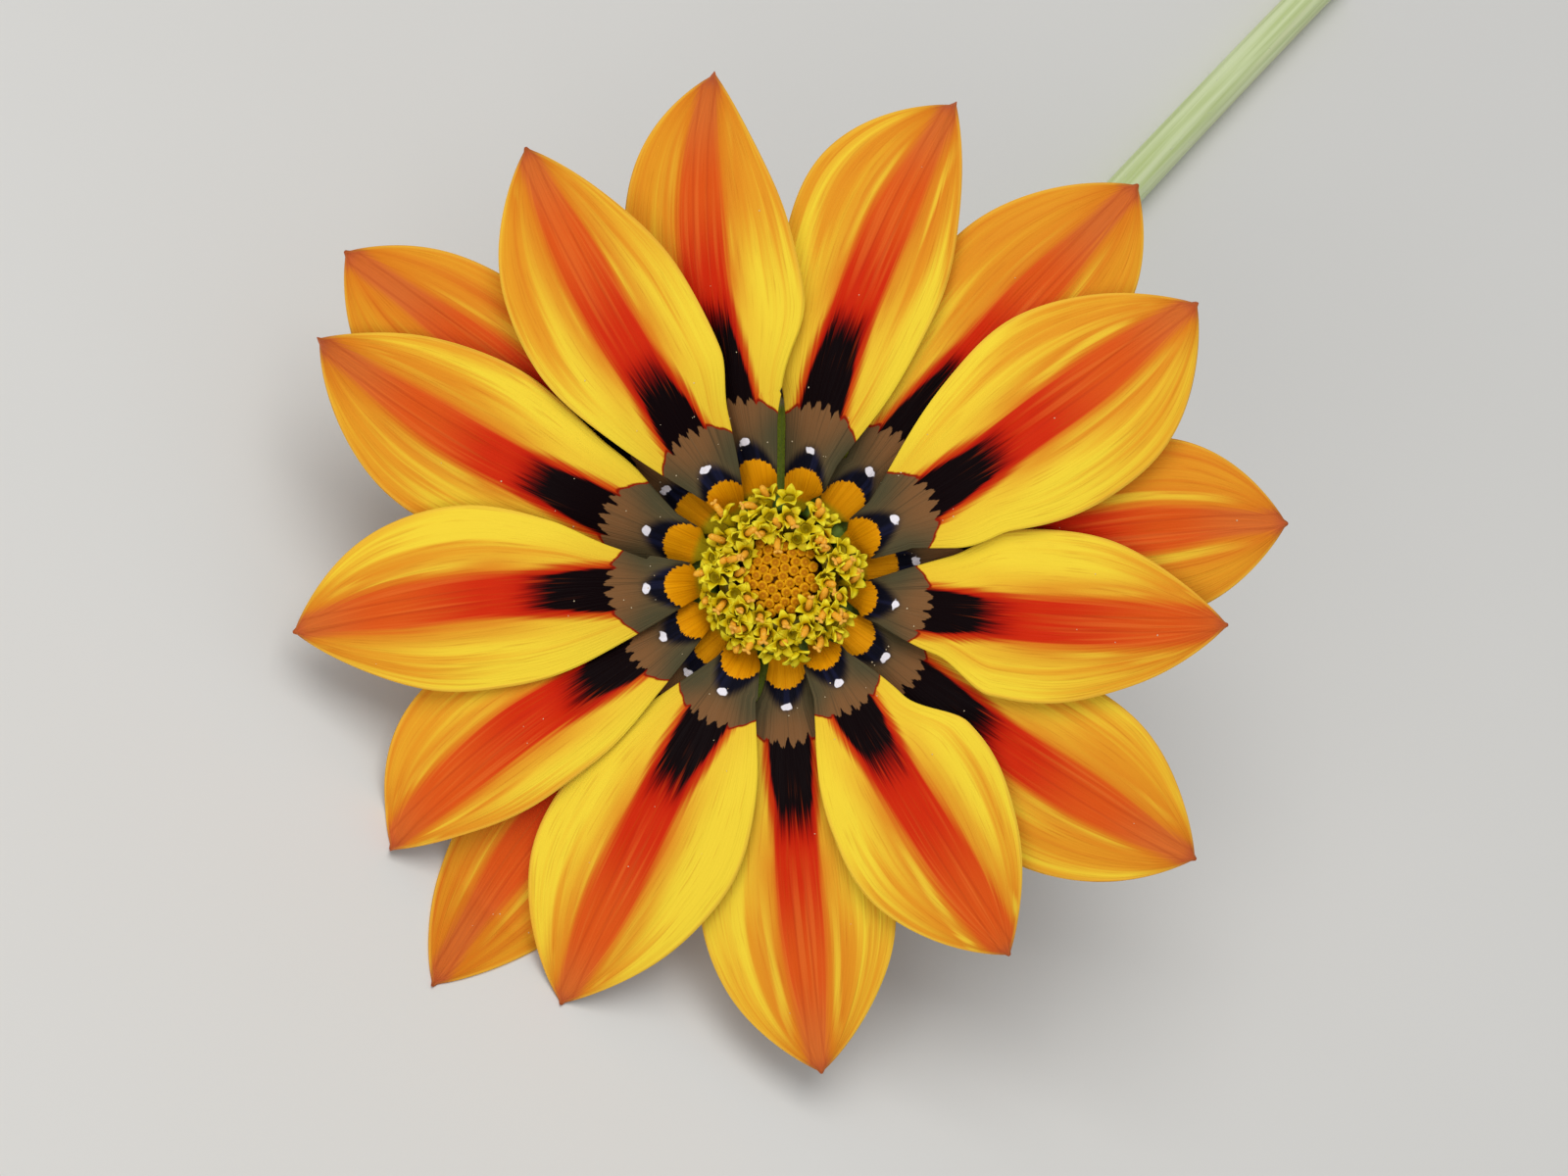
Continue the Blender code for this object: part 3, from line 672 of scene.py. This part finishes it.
# Below the stripe a red fringe borders the black tongue, whose end is scorched and ragged.
fringe = petal.ease(petal.sum("ADD", red_place, petal.ease(out, 14.0, 21.0, 0.0, 0.3)), 0.35, -0.45)
fringe = petal.times(fringe, petal.ease(out, 22.0, 18.0))
fringe_colour = petal.lay(shade(236, 112, 24), shade(192, 26, 4), petal.ease(red_place, 0.1, -0.5))
blade = petal.lay(blade, fringe_colour, fringe)
scorch = petal.ease(petal.stir(out, hair, 3.0), BLACK_TO + 2.1, BLACK_TO)
scorch = petal.times(scorch, petal.ease(away, 1.7, 0.9))
blade = petal.lay(blade, shade(120, 8, 2), petal.times(scorch, 0.85))
black_half = petal.ease(out, 14.5, 19.5, 1.72, 1.3)
black_side = petal.ease(petal.sum("SUBTRACT", petal.stir(away, hair, 0.4), black_half), 0.12, -0.14)
black_end = petal.ease(petal.stir(out, hair, 4.0), BLACK_TO + 1.1, BLACK_TO - 1.1)
blade = petal.lay(blade, shade(12, 1, 3), petal.times(black_side, black_end))
# The brown zone ends in teeth against the black, and in a thin dark red line against the lobes.
tooth = petal.sum("PINGPONG", petal.sum("MULTIPLY_ADD", fine, 0.6, sideways), TOOTH)
bite = petal.times(petal.spans(tooth, TOOTH, 1.4), petal.ease(away, 1.4, 2.1, 0.78, 0.12))
bite = petal.times(bite, petal.ease(broad, 0.3, 0.7, 0.75, 1.25))
bow = petal.sum("MULTIPLY_ADD", petal.times(away, away), -0.16, BROWN_TO + 0.15)
past_brown = petal.sum("SUBTRACT", out, petal.sum("SUBTRACT", bow, bite))
rim_line = petal.times(petal.ease(past_brown, 0.34, 0.12), petal.ease(away, 1.5, 1.8))
blade = petal.lay(blade, shade(150, 24, 4), rim_line)
rust = petal.sum("ADD", petal.times(petal.ease(away, 3.2, 0.4), 0.5),
                 petal.ease(out, 9.8, 13.4, 0.0, 0.6))
brown = petal.lay(shade(84, 78, 54), shade(132, 92, 56), petal.ease(rust, 0.15, 1.05))
brown = petal.lay(brown, shade(70, 60, 42), petal.ease(fine, 0.52, 0.75, 0.0, 0.6))
brown = petal.lay(brown, shade(138, 108, 74), petal.ease(hair, 0.58, 0.8, 0.0, 0.4))
blade = petal.lay(blade, brown, petal.ease(past_brown, 0.07, -0.07))
# A navy halo stands round the frilled orange spot at the claw, with lighter blue patches of painted
# glint.
past_claw = petal.sum("MAXIMUM", petal.sum("SUBTRACT", out, 8.0), 0.0)
halo = petal.sum("ADD", petal.spans(past_claw, 2.8, 1.5), petal.spans(away, 1.8, 2.0))
navy_with_painted_glints = petal.lay(shade(13, 13, 26), shade(30, 33, 62), petal.ease(broad, 0.48, 0.7, 0.0, 0.6))
blade = petal.lay(blade, navy_with_painted_glints, petal.ease(petal.stir(halo, hair, 0.3), 1.28, 0.62))
past_root = petal.sum("MAXIMUM", petal.sum("SUBTRACT", out, 7.3), 0.0)
claw = petal.sum("ADD", petal.spans(past_root, 1.82, 2.2), petal.spans(away, 1.76, 2.2))
frill = petal.sum("MULTIPLY_ADD", fine, 1.1, petal.sum("SUBTRACT", out, away))
frill = petal.sum("PINGPONG", frill, FRILL)
claw = petal.sum("MULTIPLY_ADD", frill, 0.38, petal.sum("POWER", claw, 0.455))
spot = petal.lay(shade(248, 166, 8), shade(232, 148, 2), petal.ease(fine, 0.4, 0.7))
spot = petal.lay(spot, shade(190, 168, 20), petal.ease(out, 6.9, 6.2))
blade = petal.lay(blade, spot, petal.ease(claw, 1.05, 1.01))
# The white dot is a small lumpy oval in the navy.
dot = petal.sum("ADD", petal.spans(petal.sum("SUBTRACT", out, DOT_AT), DOT_HALVES[0], 2.0),
                petal.spans(sideways, DOT_HALVES[1], 2.0))
dot = petal.stir(petal.sum("SQRT", dot), petal.streaks((4.5, 1.7, 5.0), 1), 1.4)
blade = petal.lay(blade, shade(250, 246, 255), petal.ease(dot, 1.08, 0.86))
# The margins are pale, the tip is flushed, and hair-thin lines run the length of the blade.
margin = petal.times(petal.ease(edge, 0.4, 0.1), petal.ease(out, 17.0, 22.0, 0.0, 0.6))
blade = petal.lay(blade, shade(250, 196, 66), margin)
flush = petal.ease(petal.mark("along"), 0.955, 1.0, 0.0, 0.9)
blade = petal.lay(blade, shade(206, 96, 56), flush)
lines = petal.times(petal.ease(hair, 0.58, 0.74), petal.ease(out, 15.0, 20.0, 0.0, 0.22))
blade = petal.lay(blade, shade(196, 84, 14), lines)
petal.colour(blade)
petal.rough(petal.ease(fine, 0.3, 0.7, 0.46, 0.6))
petal.relief(petal.sum("ADD", hair, petal.times(fine, 0.8)), 0.05)

underside = Dye("petal underside", roughness=0.6, specular=0.3)
out, away = underside.mark("out"), underside.sum("ABSOLUTE", underside.mark("sideways"))
fine = underside.streaks((21.0, 0.06, 9.0), 2)
back = underside.lay(shade(222, 168, 62), shade(205, 132, 48), underside.ease(fine, 0.35, 0.65))
back = underside.lay(back, shade(150, 118, 66), underside.ease(out, 22.0, 9.0))
band = underside.ease(underside.stir(away, fine, 1.6), 2.9, 1.3, 0.0, 0.85)
back = underside.lay(back, shade(122, 84, 58), band)
underside.colour(back)
underside.relief(fine, 0.08)

for number, (ray, marking) in enumerate(zip(RAYS, MARKINGS)):
    dot_out, dot_side, brown_end, black_end_at, tone_and_shade_left, tone_and_shade_right, swing = marking
    high, low, distance, sideways, half = ray_sheets(number, ray, across, along, chance)
    ray_tops.append(high)
    out_marks = np.interp(distance, (0, dot_out - 3, dot_out, brown_end, black_end_at, 31, 50),
                          (0, DOT_AT - 3, DOT_AT, BROWN_TO, BLACK_TO, 31, 50))
    side_marks = sideways - dot_side * (1 - smooth((distance - dot_out - 0.5) / 8))
    swung = swing * smooth((distance - 17) / 8) * (1 - 0.5 * smooth((distance - 34) / 6))
    grain = np.stack(np.broadcast_arrays(across, distance, 1.7 * number), axis=2)
    clay = Clay()
    # The gold mark carries each side's own tone together with painted shade for rays that lie under
    # others.
    clay.add_sheet(high, low, (0, 1), grain=grain, out=out_marks, sideways=side_marks - swung,
                   edge=half * (1 - np.abs(across)), along=along[:, None],
                   gold=tone_and_shade_left + (tone_and_shade_right - tone_and_shade_left) * smooth((across + 1) / 2))
    ray_piece = clay.make(f"ray_{number + 1:02d}_floret", HEAD_PLACE, petal.finish, underside.finish)
    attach(ray_piece, "root")
    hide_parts(f"ray_{number + 1:02d}")

# The receptacle is the domed seat inside the cup, dark pitted tissue. Its middle is packed with
# closed florets: blunt ochre buds in spirals, each of five petals that meet at the top.
DOME_RADIUS = 3.1
DOME_TOP = 2.6
DOME_CROWN = 0.9
SEAT_PROFILE = ((4.6, -1.15), (4.6, -0.58), (3.12, -0.55), (3.1, 1.2))
SEAT_RINGS = 60
BUD_COUNT = 51
BUD_REACH = 2.9
BUD_LEAN = 0.3
BUD_SIDES = 30
BUD_SIZES = (0.95, 1.03)
BUD_SEAM = 0.1
BUD_SHAPE = ((0.30, -0.9), (0.39, -0.4), (0.44, 0.0), (0.46, 0.3), (0.445, 0.48), (0.39, 0.63),
             (0.31, 0.73), (0.21, 0.785), (0.12, 0.79), (0.05, 0.75))
GOLDEN_ANGLE = math.pi * (3 - math.sqrt(5))


def dome_height(distance):
    """Height of the receptacle's dome at a distance from the axis."""
    return DOME_TOP - DOME_CROWN * (1 - np.sqrt(1 - np.minimum(distance / DOME_RADIUS, 1.0) ** 2))


turns = full_turn(96)
dome = [(r, float(dome_height(r)) - 0.05) for r in np.linspace(DOME_RADIUS, 0.2, 20)]
profile = spread_along([*SEAT_PROFILE, *dome], SEAT_RINGS)
pits = 0.04 * np.cos(14 * turns)[None] * np.sin(profile[:, :1] * 7) * (profile[:, 1:] > 1.5)
rings = spun(profile[:, :1], turns, profile[:, 1:] + pits)
seat_clay = Clay()
seat_clay.add_round(rings, (True, True), grain=rings)
seat_brown = Dye("brown seat tissue", roughness=0.7, specular=0.25)
blotch = seat_brown.streaks((2.5, 2.5, 2.5), 3)
seat_brown.colour(seat_brown.lay(shade(92, 48, 8), shade(148, 88, 14),
                                 seat_brown.ease(blotch, 0.35, 0.65)))
seat_brown.relief(blotch, 0.1)
seat = seat_clay.make("receptacle", HEAD_PLACE, seat_brown.finish)

chance = np.random.default_rng(51)
bud_shape = np.array(BUD_SHAPE)
turns = full_turn(BUD_SIDES)
seams = np.abs(np.cos(2.5 * turns)) ** 0.7
crown = np.clip((bud_shape[:, 1] + 0.4) / 1.2, 0.0, 1.0)[:, None]
bud_clay = Clay()
for number in range(BUD_COUNT):
    distance = BUD_REACH * math.sqrt((number + 0.5) / BUD_COUNT)
    turn = number * GOLDEN_ANGLE
    out = np.array((math.cos(turn), math.sin(turn), 0.0))
    start = out * distance + (0.0, 0.0, float(dome_height(distance)))
    lean = Vector((0, 0, 1)) + Vector(out) * (BUD_LEAN * distance / DOME_RADIUS)
    turned = np.array(lean.to_track_quat("Z", "Y").to_matrix())
    twist, size = chance.uniform(0, 6.3), chance.uniform(*BUD_SIZES)
    radius = size * bud_shape[:, :1] * (1 - BUD_SEAM * crown * (1 - seams))
    local = spun(radius, turns + twist, bud_shape[:, 1:] * size)
    bud_clay.add_round(start + local @ turned.T, (True, True), crown=crown,
                       seam=(1 - seams) * crown, grain=local + number)
bud_ochre = Dye("ochre bud skin", roughness=0.45, specular=0.06)
crown_mark, seam_mark = bud_ochre.mark("crown"), bud_ochre.mark("seam")
speck = bud_ochre.streaks((5.0, 5.0, 5.0), 2)
# The lower sides of the buds are painted dark reddish brown as the shade between the packed buds, the
# lighter ring round each shoulder is a painted highlight, and the darker middle of the top is painted
# shade in its dimple.
ochre = bud_ochre.lay(shade(128, 56, 2), shade(214, 146, 4), bud_ochre.ease(crown_mark, 0.3, 0.75))
ring = bud_ochre.ease(bud_ochre.off(crown_mark, 0.87), 0.1, 0.02)
ochre = bud_ochre.lay(ochre, shade(250, 196, 34), bud_ochre.times(ring, 0.75))
ochre = bud_ochre.lay(ochre, shade(182, 104, 2), bud_ochre.ease(crown_mark, 0.955, 0.99, 0.0, 0.8))
ochre = bud_ochre.lay(ochre, shade(156, 84, 2), bud_ochre.ease(seam_mark, 0.5, 0.95, 0.0, 0.5))
ochre = bud_ochre.lay(ochre, shade(238, 178, 20), bud_ochre.ease(speck, 0.6, 0.8, 0.0, 0.3))
bud_ochre.colour(ochre)
bud_ochre.relief(speck, 0.03)
buds = bud_clay.make("closed_florets", HEAD_PLACE, bud_ochre.finish)
for piece in (seat, buds):
    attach(piece, "root")
    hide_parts("disc_buds")

# The open florets stand in four rings round the buds. Each is a slim olive tube that opens into
# five lemon-yellow lobes that curl back; from many stands a curved orange column of anthers, with
# two short blunt arms on the oldest. They grow from a low collar of the receptacle.
COLLAR = ((3.5, -0.2), (4.8, -0.2), (4.8, 1.9), (4.4, 2.35), (3.9, 2.4), (3.5, 2.1))
# Each ring: how many florets, the radius and height of their feet and of their mouths, and the
# share of them that have a column.
FLORET_CIRCLES = (
    (12, (3.6, 1.4), (3.5, 3.1), 0.8),
    (15, (4.0, 1.5), (4.25, 3.35), 0.7),
    (18, (4.3, 1.5), (5.05, 3.25), 0.7),
    (21, (4.5, 1.8), (5.85, 2.95), 0.6),
)
TUBE_SHAPE = ((0.18, 0.0), (0.24, 0.35), (0.3, 0.6), (0.38, 0.8), (0.44, 0.95), (0.45, 1.0),
              (0.38, 0.97), (0.25, 0.85), (0.14, 0.7))
THROAT_RINGS = 3
FLORET_SIDES = 15
FLORET_SIZES = (0.85, 1.12)
FLORET_SWAY = 0.5
FLORET_LOBES = 5
FLORET_LOBE_LENGTH = 0.9
FLORET_LOBE_HALF = 0.42
FLORET_LOBE_CUPPED = 0.14
FLORET_LOBE_THICK = 0.1
FLORET_LOBE_ROWS = 8
# How many degrees a lobe leans out at its root, and how many more it curls by its point.
LOBE_LEANS = (-10, 55)
LOBE_CURLS = (10, 125)
COLUMN_LENGTHS = (1.3, 1.9)
COLUMN_THICK = 0.27
ARMED_SHARE = 0.55
ARM_LENGTH = 0.5
ARM_THICK = 0.13


def bent_rod(clay, start, first, last, length, thick, rows=9, sides=10, **marks):
    """A round rod with a blunt end that bends from a first heading to a last one."""
    share = np.linspace(0.0, 1.0, rows)
    headings = first[None] * (1 - share[:, None]) + last[None] * share[:, None]
    headings /= np.linalg.norm(headings, axis=1, keepdims=True)
    route = start + np.cumsum(headings, axis=0) * length / rows
    radius = thick * np.sqrt(np.clip(1 - ((share - 0.78) / 0.24).clip(0) ** 2, 0.02, None))
    turns = full_turn(sides)
    rings = rings_along(route, headings, turns, np.broadcast_to(radius[:, None], (rows, sides)),
                        up=(0.31, 0.17, 0.2))
    clay.add_round(rings, (True, True), along=share[:, None], grain=rings, **marks)
    return route[-1], headings[-1]


def curled_lobe(angle, size, rim, chance):
    """A lobe that leans out from a floret's rim and curls: its middle sheet, the way out from that
    to its skin, and how far along it each row is."""
    share = np.linspace(0.0, 1.0, FLORET_LOBE_ROWS)
    curl = np.radians(chance.uniform(*LOBE_LEANS) + chance.uniform(*LOBE_CURLS) * share)
    span = FLORET_LOBE_LENGTH * size * chance.uniform(0.78, 1.2)
    reach = np.cumsum(np.sin(curl)) * span / FLORET_LOBE_ROWS + 0.4 * size
    rise = np.cumsum(np.cos(curl)) * span / FLORET_LOBE_ROWS + rim - 0.06
    across = np.linspace(-1.0, 1.0, 5)
    half = FLORET_LOBE_HALF * size * chance.uniform(0.8, 1.15) * (1 - share ** 1.7) ** 0.8
    half = half + 0.015
    outward = np.array((math.cos(angle), math.sin(angle), 0.0))
    square = np.array((-math.sin(angle), math.cos(angle), 0.0))
    up = np.array((0.0, 0.0, 1.0))
    middle = reach[:, None, None] * outward + rise[:, None, None] * up
    blade = middle + (half[:, None] * across)[..., None] * square
    normal = -np.cos(curl)[:, None, None] * outward + np.sin(curl)[:, None, None] * up
    blade = blade + normal * (FLORET_LOBE_CUPPED * across ** 2)[None, :, None]
    return blade, 0.5 * FLORET_LOBE_THICK * normal, share


def open_floret(clay, start, end, number, chance):
    """A slim tube from start to end that opens into curled lobes; gives its axis and length."""
    length = np.linalg.norm(end - start)
    axis = (end - start) / length
    turned = np.array(Vector(axis).to_track_quat("Z", "Y").to_matrix()).T
    size = chance.uniform(*FLORET_SIZES)
    shape = np.array(TUBE_SHAPE)
    in_throat = np.arange(len(shape)) >= len(shape) - THROAT_RINGS
    turns = full_turn(FLORET_SIDES)
    local = spun(shape[:, :1] * size, turns, shape[:, 1:] * length)
    clay.add_round(start + local @ turned, (False, True), grain=local + 3 * number,
                   along=np.where(in_throat, -0.35, shape[:, 1] - 1)[:, None])
    twist = chance.uniform(0, 6.3)
    for lobe in range(FLORET_LOBES):
        angle = twist + 2 * math.pi * (lobe + chance.uniform(-0.12, 0.12)) / FLORET_LOBES
        blade, skin, share = curled_lobe(angle, size, length, chance)
        clay.add_sheet(start + (blade + skin) @ turned, start + (blade - skin) @ turned,
                       grain=blade + 3 * number, along=share[:, None])
    return axis, length


def anther_column(clay, root, axis, out, chance):
    """A bent column of anthers on a floret, with two arms on the oldest."""
    aim = 0.7 * axis + chance.uniform(-0.8, 0.8, 3) * (1.0, 1.0, 0.2)
    aim = aim + out * chance.uniform(-0.8, 1.1)
    tip, heading = bent_rod(clay, root, axis, aim / np.linalg.norm(aim),
                            chance.uniform(*COLUMN_LENGTHS), COLUMN_THICK, arms=0.0)
    if chance.random() < ARMED_SHARE:
        square = np.cross(heading, (0.3, 0.5, 0.8))
        for way in (-1, 1):
            bent_rod(clay, tip - 0.1 * heading, heading + 0.3 * way * square,
                     1.3 * way * square - 0.1 * heading, ARM_LENGTH, ARM_THICK, 6, 8, arms=1.0)


chance = np.random.default_rng(66)
floret_clay, column_clay = Clay(), Clay()
turns = full_turn(64)
profile = spread_along(COLLAR, 24)
rings = spun(profile[:, :1], turns, profile[:, 1:])
floret_clay.add_round(rings, (False, False), grain=rings, along=-0.8)
for circle, (count, foot, mouth, columned) in enumerate(FLORET_CIRCLES):
    for number in range(count):
        turn = 2 * math.pi * (number + 0.5 * circle + chance.uniform(-0.22, 0.22)) / count
        out = np.array((math.cos(turn), math.sin(turn), 0.0))
        start = out * foot[0] + (0.0, 0.0, foot[1])
        sway = chance.uniform(-FLORET_SWAY, FLORET_SWAY, 3) * (1.0, 1.0, 0.7)
        end = out * mouth[0] + (0.0, 0.0, mouth[1]) + sway
        axis, length = open_floret(floret_clay, start, end, number, chance)
        if chance.random() < columned:
            anther_column(column_clay, start + axis * length * 0.75, axis, out, chance)

lemon = Dye("lemon floret tissue", roughness=0.45, specular=0.15)
share = lemon.mark("along")
thread = lemon.streaks((3.0, 3.0, 3.0), 2)
yellow = lemon.lay(shade(112, 100, 8), shade(186, 164, 8), lemon.ease(share, -0.9, -0.1))
yellow = lemon.lay(yellow, shade(224, 198, 8), lemon.ease(share, 0.0, 0.35))
yellow = lemon.lay(yellow, shade(250, 236, 50), lemon.ease(share, 0.3, 0.8))
yellow = lemon.lay(yellow, shade(216, 176, 8), lemon.ease(thread, 0.5, 0.75, 0.0, 0.5))
lemon.colour(yellow)
lemon.relief(thread, 0.03)
orange = Dye("orange anther column", roughness=0.5, specular=0.1)
share = orange.mark("along")
dust = orange.streaks((7.0, 7.0, 7.0), 2)
warm = orange.lay(shade(214, 140, 14), shade(250, 176, 44), orange.ease(share, 0.1, 0.6))
warm = orange.lay(warm, shade(254, 206, 96), orange.ease(dust, 0.5, 0.72, 0.0, 0.7))
warm = orange.lay(warm, shade(250, 190, 84), orange.times(orange.mark("arms"), 0.6))
orange.colour(warm)
orange.relief(dust, 0.05)
florets = floret_clay.make("open_florets_ring", HEAD_PLACE, lemon.finish)
columns = column_clay.make("anther_columns", HEAD_PLACE, orange.finish)
for piece in (florets, columns):
    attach(piece, "root")
    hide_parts("open_florets")

# Loose pollen lies in tiny pale grains on the rays, thickest on the dark zones near the disc. It is
# dry golden dust that the anthers have shed, and it only lies there.
POLLEN_COUNT = 110
POLLEN_SIZES = (0.035, 0.075)
# Where along a ray the pollen lies, as shares of its length.
POLLEN_FROM = 0.14
POLLEN_RUN = 0.8
chance = np.random.default_rng(5)
octahedron = np.array([(1, 0, 0), (0, 1, 0), (-1, 0, 0), (0, -1, 0), (0, 0, 1), (0, 0, -1)])
octahedron_faces = [(0, 1, 4), (1, 2, 4), (2, 3, 4), (3, 0, 4),
                    (1, 0, 5), (2, 1, 5), (3, 2, 5), (0, 3, 5)]
pollen_clay = Clay()
for _ in range(POLLEN_COUNT):
    top = ray_tops[chance.integers(len(ray_tops))]
    row = int(RAY_ROWS * (POLLEN_FROM + POLLEN_RUN * chance.random() ** 2.4))
    spot = top[row, chance.integers(6, RAY_COLUMNS - 6)] + (0.0, 0.0, 0.03)
    size = chance.uniform(*POLLEN_SIZES)
    pollen_clay.add(spot + octahedron * size * chance.uniform(0.7, 1.3, 3), octahedron_faces)
gold_dust = Dye("pale gold pollen", roughness=0.8, specular=0.2)
gold_dust.colour(gold_dust.lay(shade(232, 200, 120), shade(248, 240, 226), gold_dust.step(
    "ShaderNodeTexNoise", {"Scale": 700.0})))
pollen = pollen_clay.make("pollen_grains", HEAD_PLACE, gold_dust.finish)
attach(pollen, "root")

# The floor is a plain pale table top that the flower lies on. It is board with matte paint, barely
# mottled, and wide enough to fill the picture.
FLOOR_SIZE = 3.0
bpy.ops.mesh.primitive_plane_add(size=FLOOR_SIZE)
floor = bpy.context.object
floor.name = "floor"
pale = Dye("pale painted board", roughness=0.7, specular=0.3)
pale.colour(pale.lay(shade(226, 225, 221), shade(232, 231, 228), pale.step("ShaderNodeTexNoise", {
    "Scale": 40.0, "Detail": 3.0})))
floor.data.materials.append(pale.finish)

# The light is that of a soft studio. A wide lamp hangs above on the left, a second one stands low
# in front, and the pale walls of a bright room fill the shadows.
LIT_PLACE = Vector((0.0, -0.03, 0.02))


def soft_lamp(name, place, power, size, colour):
    """A wide square lamp that faces the flower."""
    lamp = bpy.data.lights.new(name, "AREA")
    lamp.energy, lamp.size, lamp.color = power, size, colour
    holder = bpy.data.objects.new(name, lamp)
    holder.location = place
    aim = LIT_PLACE - Vector(place)
    holder.rotation_euler = aim.to_track_quat("-Z", "Y").to_euler()
    bpy.context.scene.collection.objects.link(holder)


soft_lamp("lamp_above", (-0.25, -0.15, 0.9), 4.2, 0.7, (1.0, 0.98, 0.95))
soft_lamp("lamp_front", (-0.1, -0.9, 0.42), 2.2, 0.6, (1.0, 0.97, 0.93))
room = bpy.data.worlds.new("bright room")
room.use_nodes = True
room.node_tree.nodes["Background"].inputs["Color"].default_value = (0.93, 0.96, 1.0, 1.0)
room.node_tree.nodes["Background"].inputs["Strength"].default_value = 0.38
bpy.context.scene.world = room
bpy.context.scene.view_settings.view_transform = "Standard"

# The camera looks straight at the open face of the flower from 350 mm, with a long lens that takes
# in the whole head and the first part of the stem.
CAMERA_HEIGHT = 350.0
CAMERA_ASIDE = (0.39, -0.94)
PICTURE_WIDTH = 124.8
FILM_WIDTH = 36.0
camera = bpy.data.objects.new("camera", bpy.data.cameras.new("camera"))
camera.data.sensor_width = FILM_WIDTH
camera.data.lens = FILM_WIDTH * CAMERA_HEIGHT / PICTURE_WIDTH
camera.matrix_world = (Matrix.Diagonal((MM, MM, MM, 1.0)) @ HEAD_PLACE
                       @ Matrix.Translation((*CAMERA_ASIDE, CAMERA_HEIGHT))).normalized()
bpy.context.scene.collection.objects.link(camera)
bpy.context.scene.camera = camera
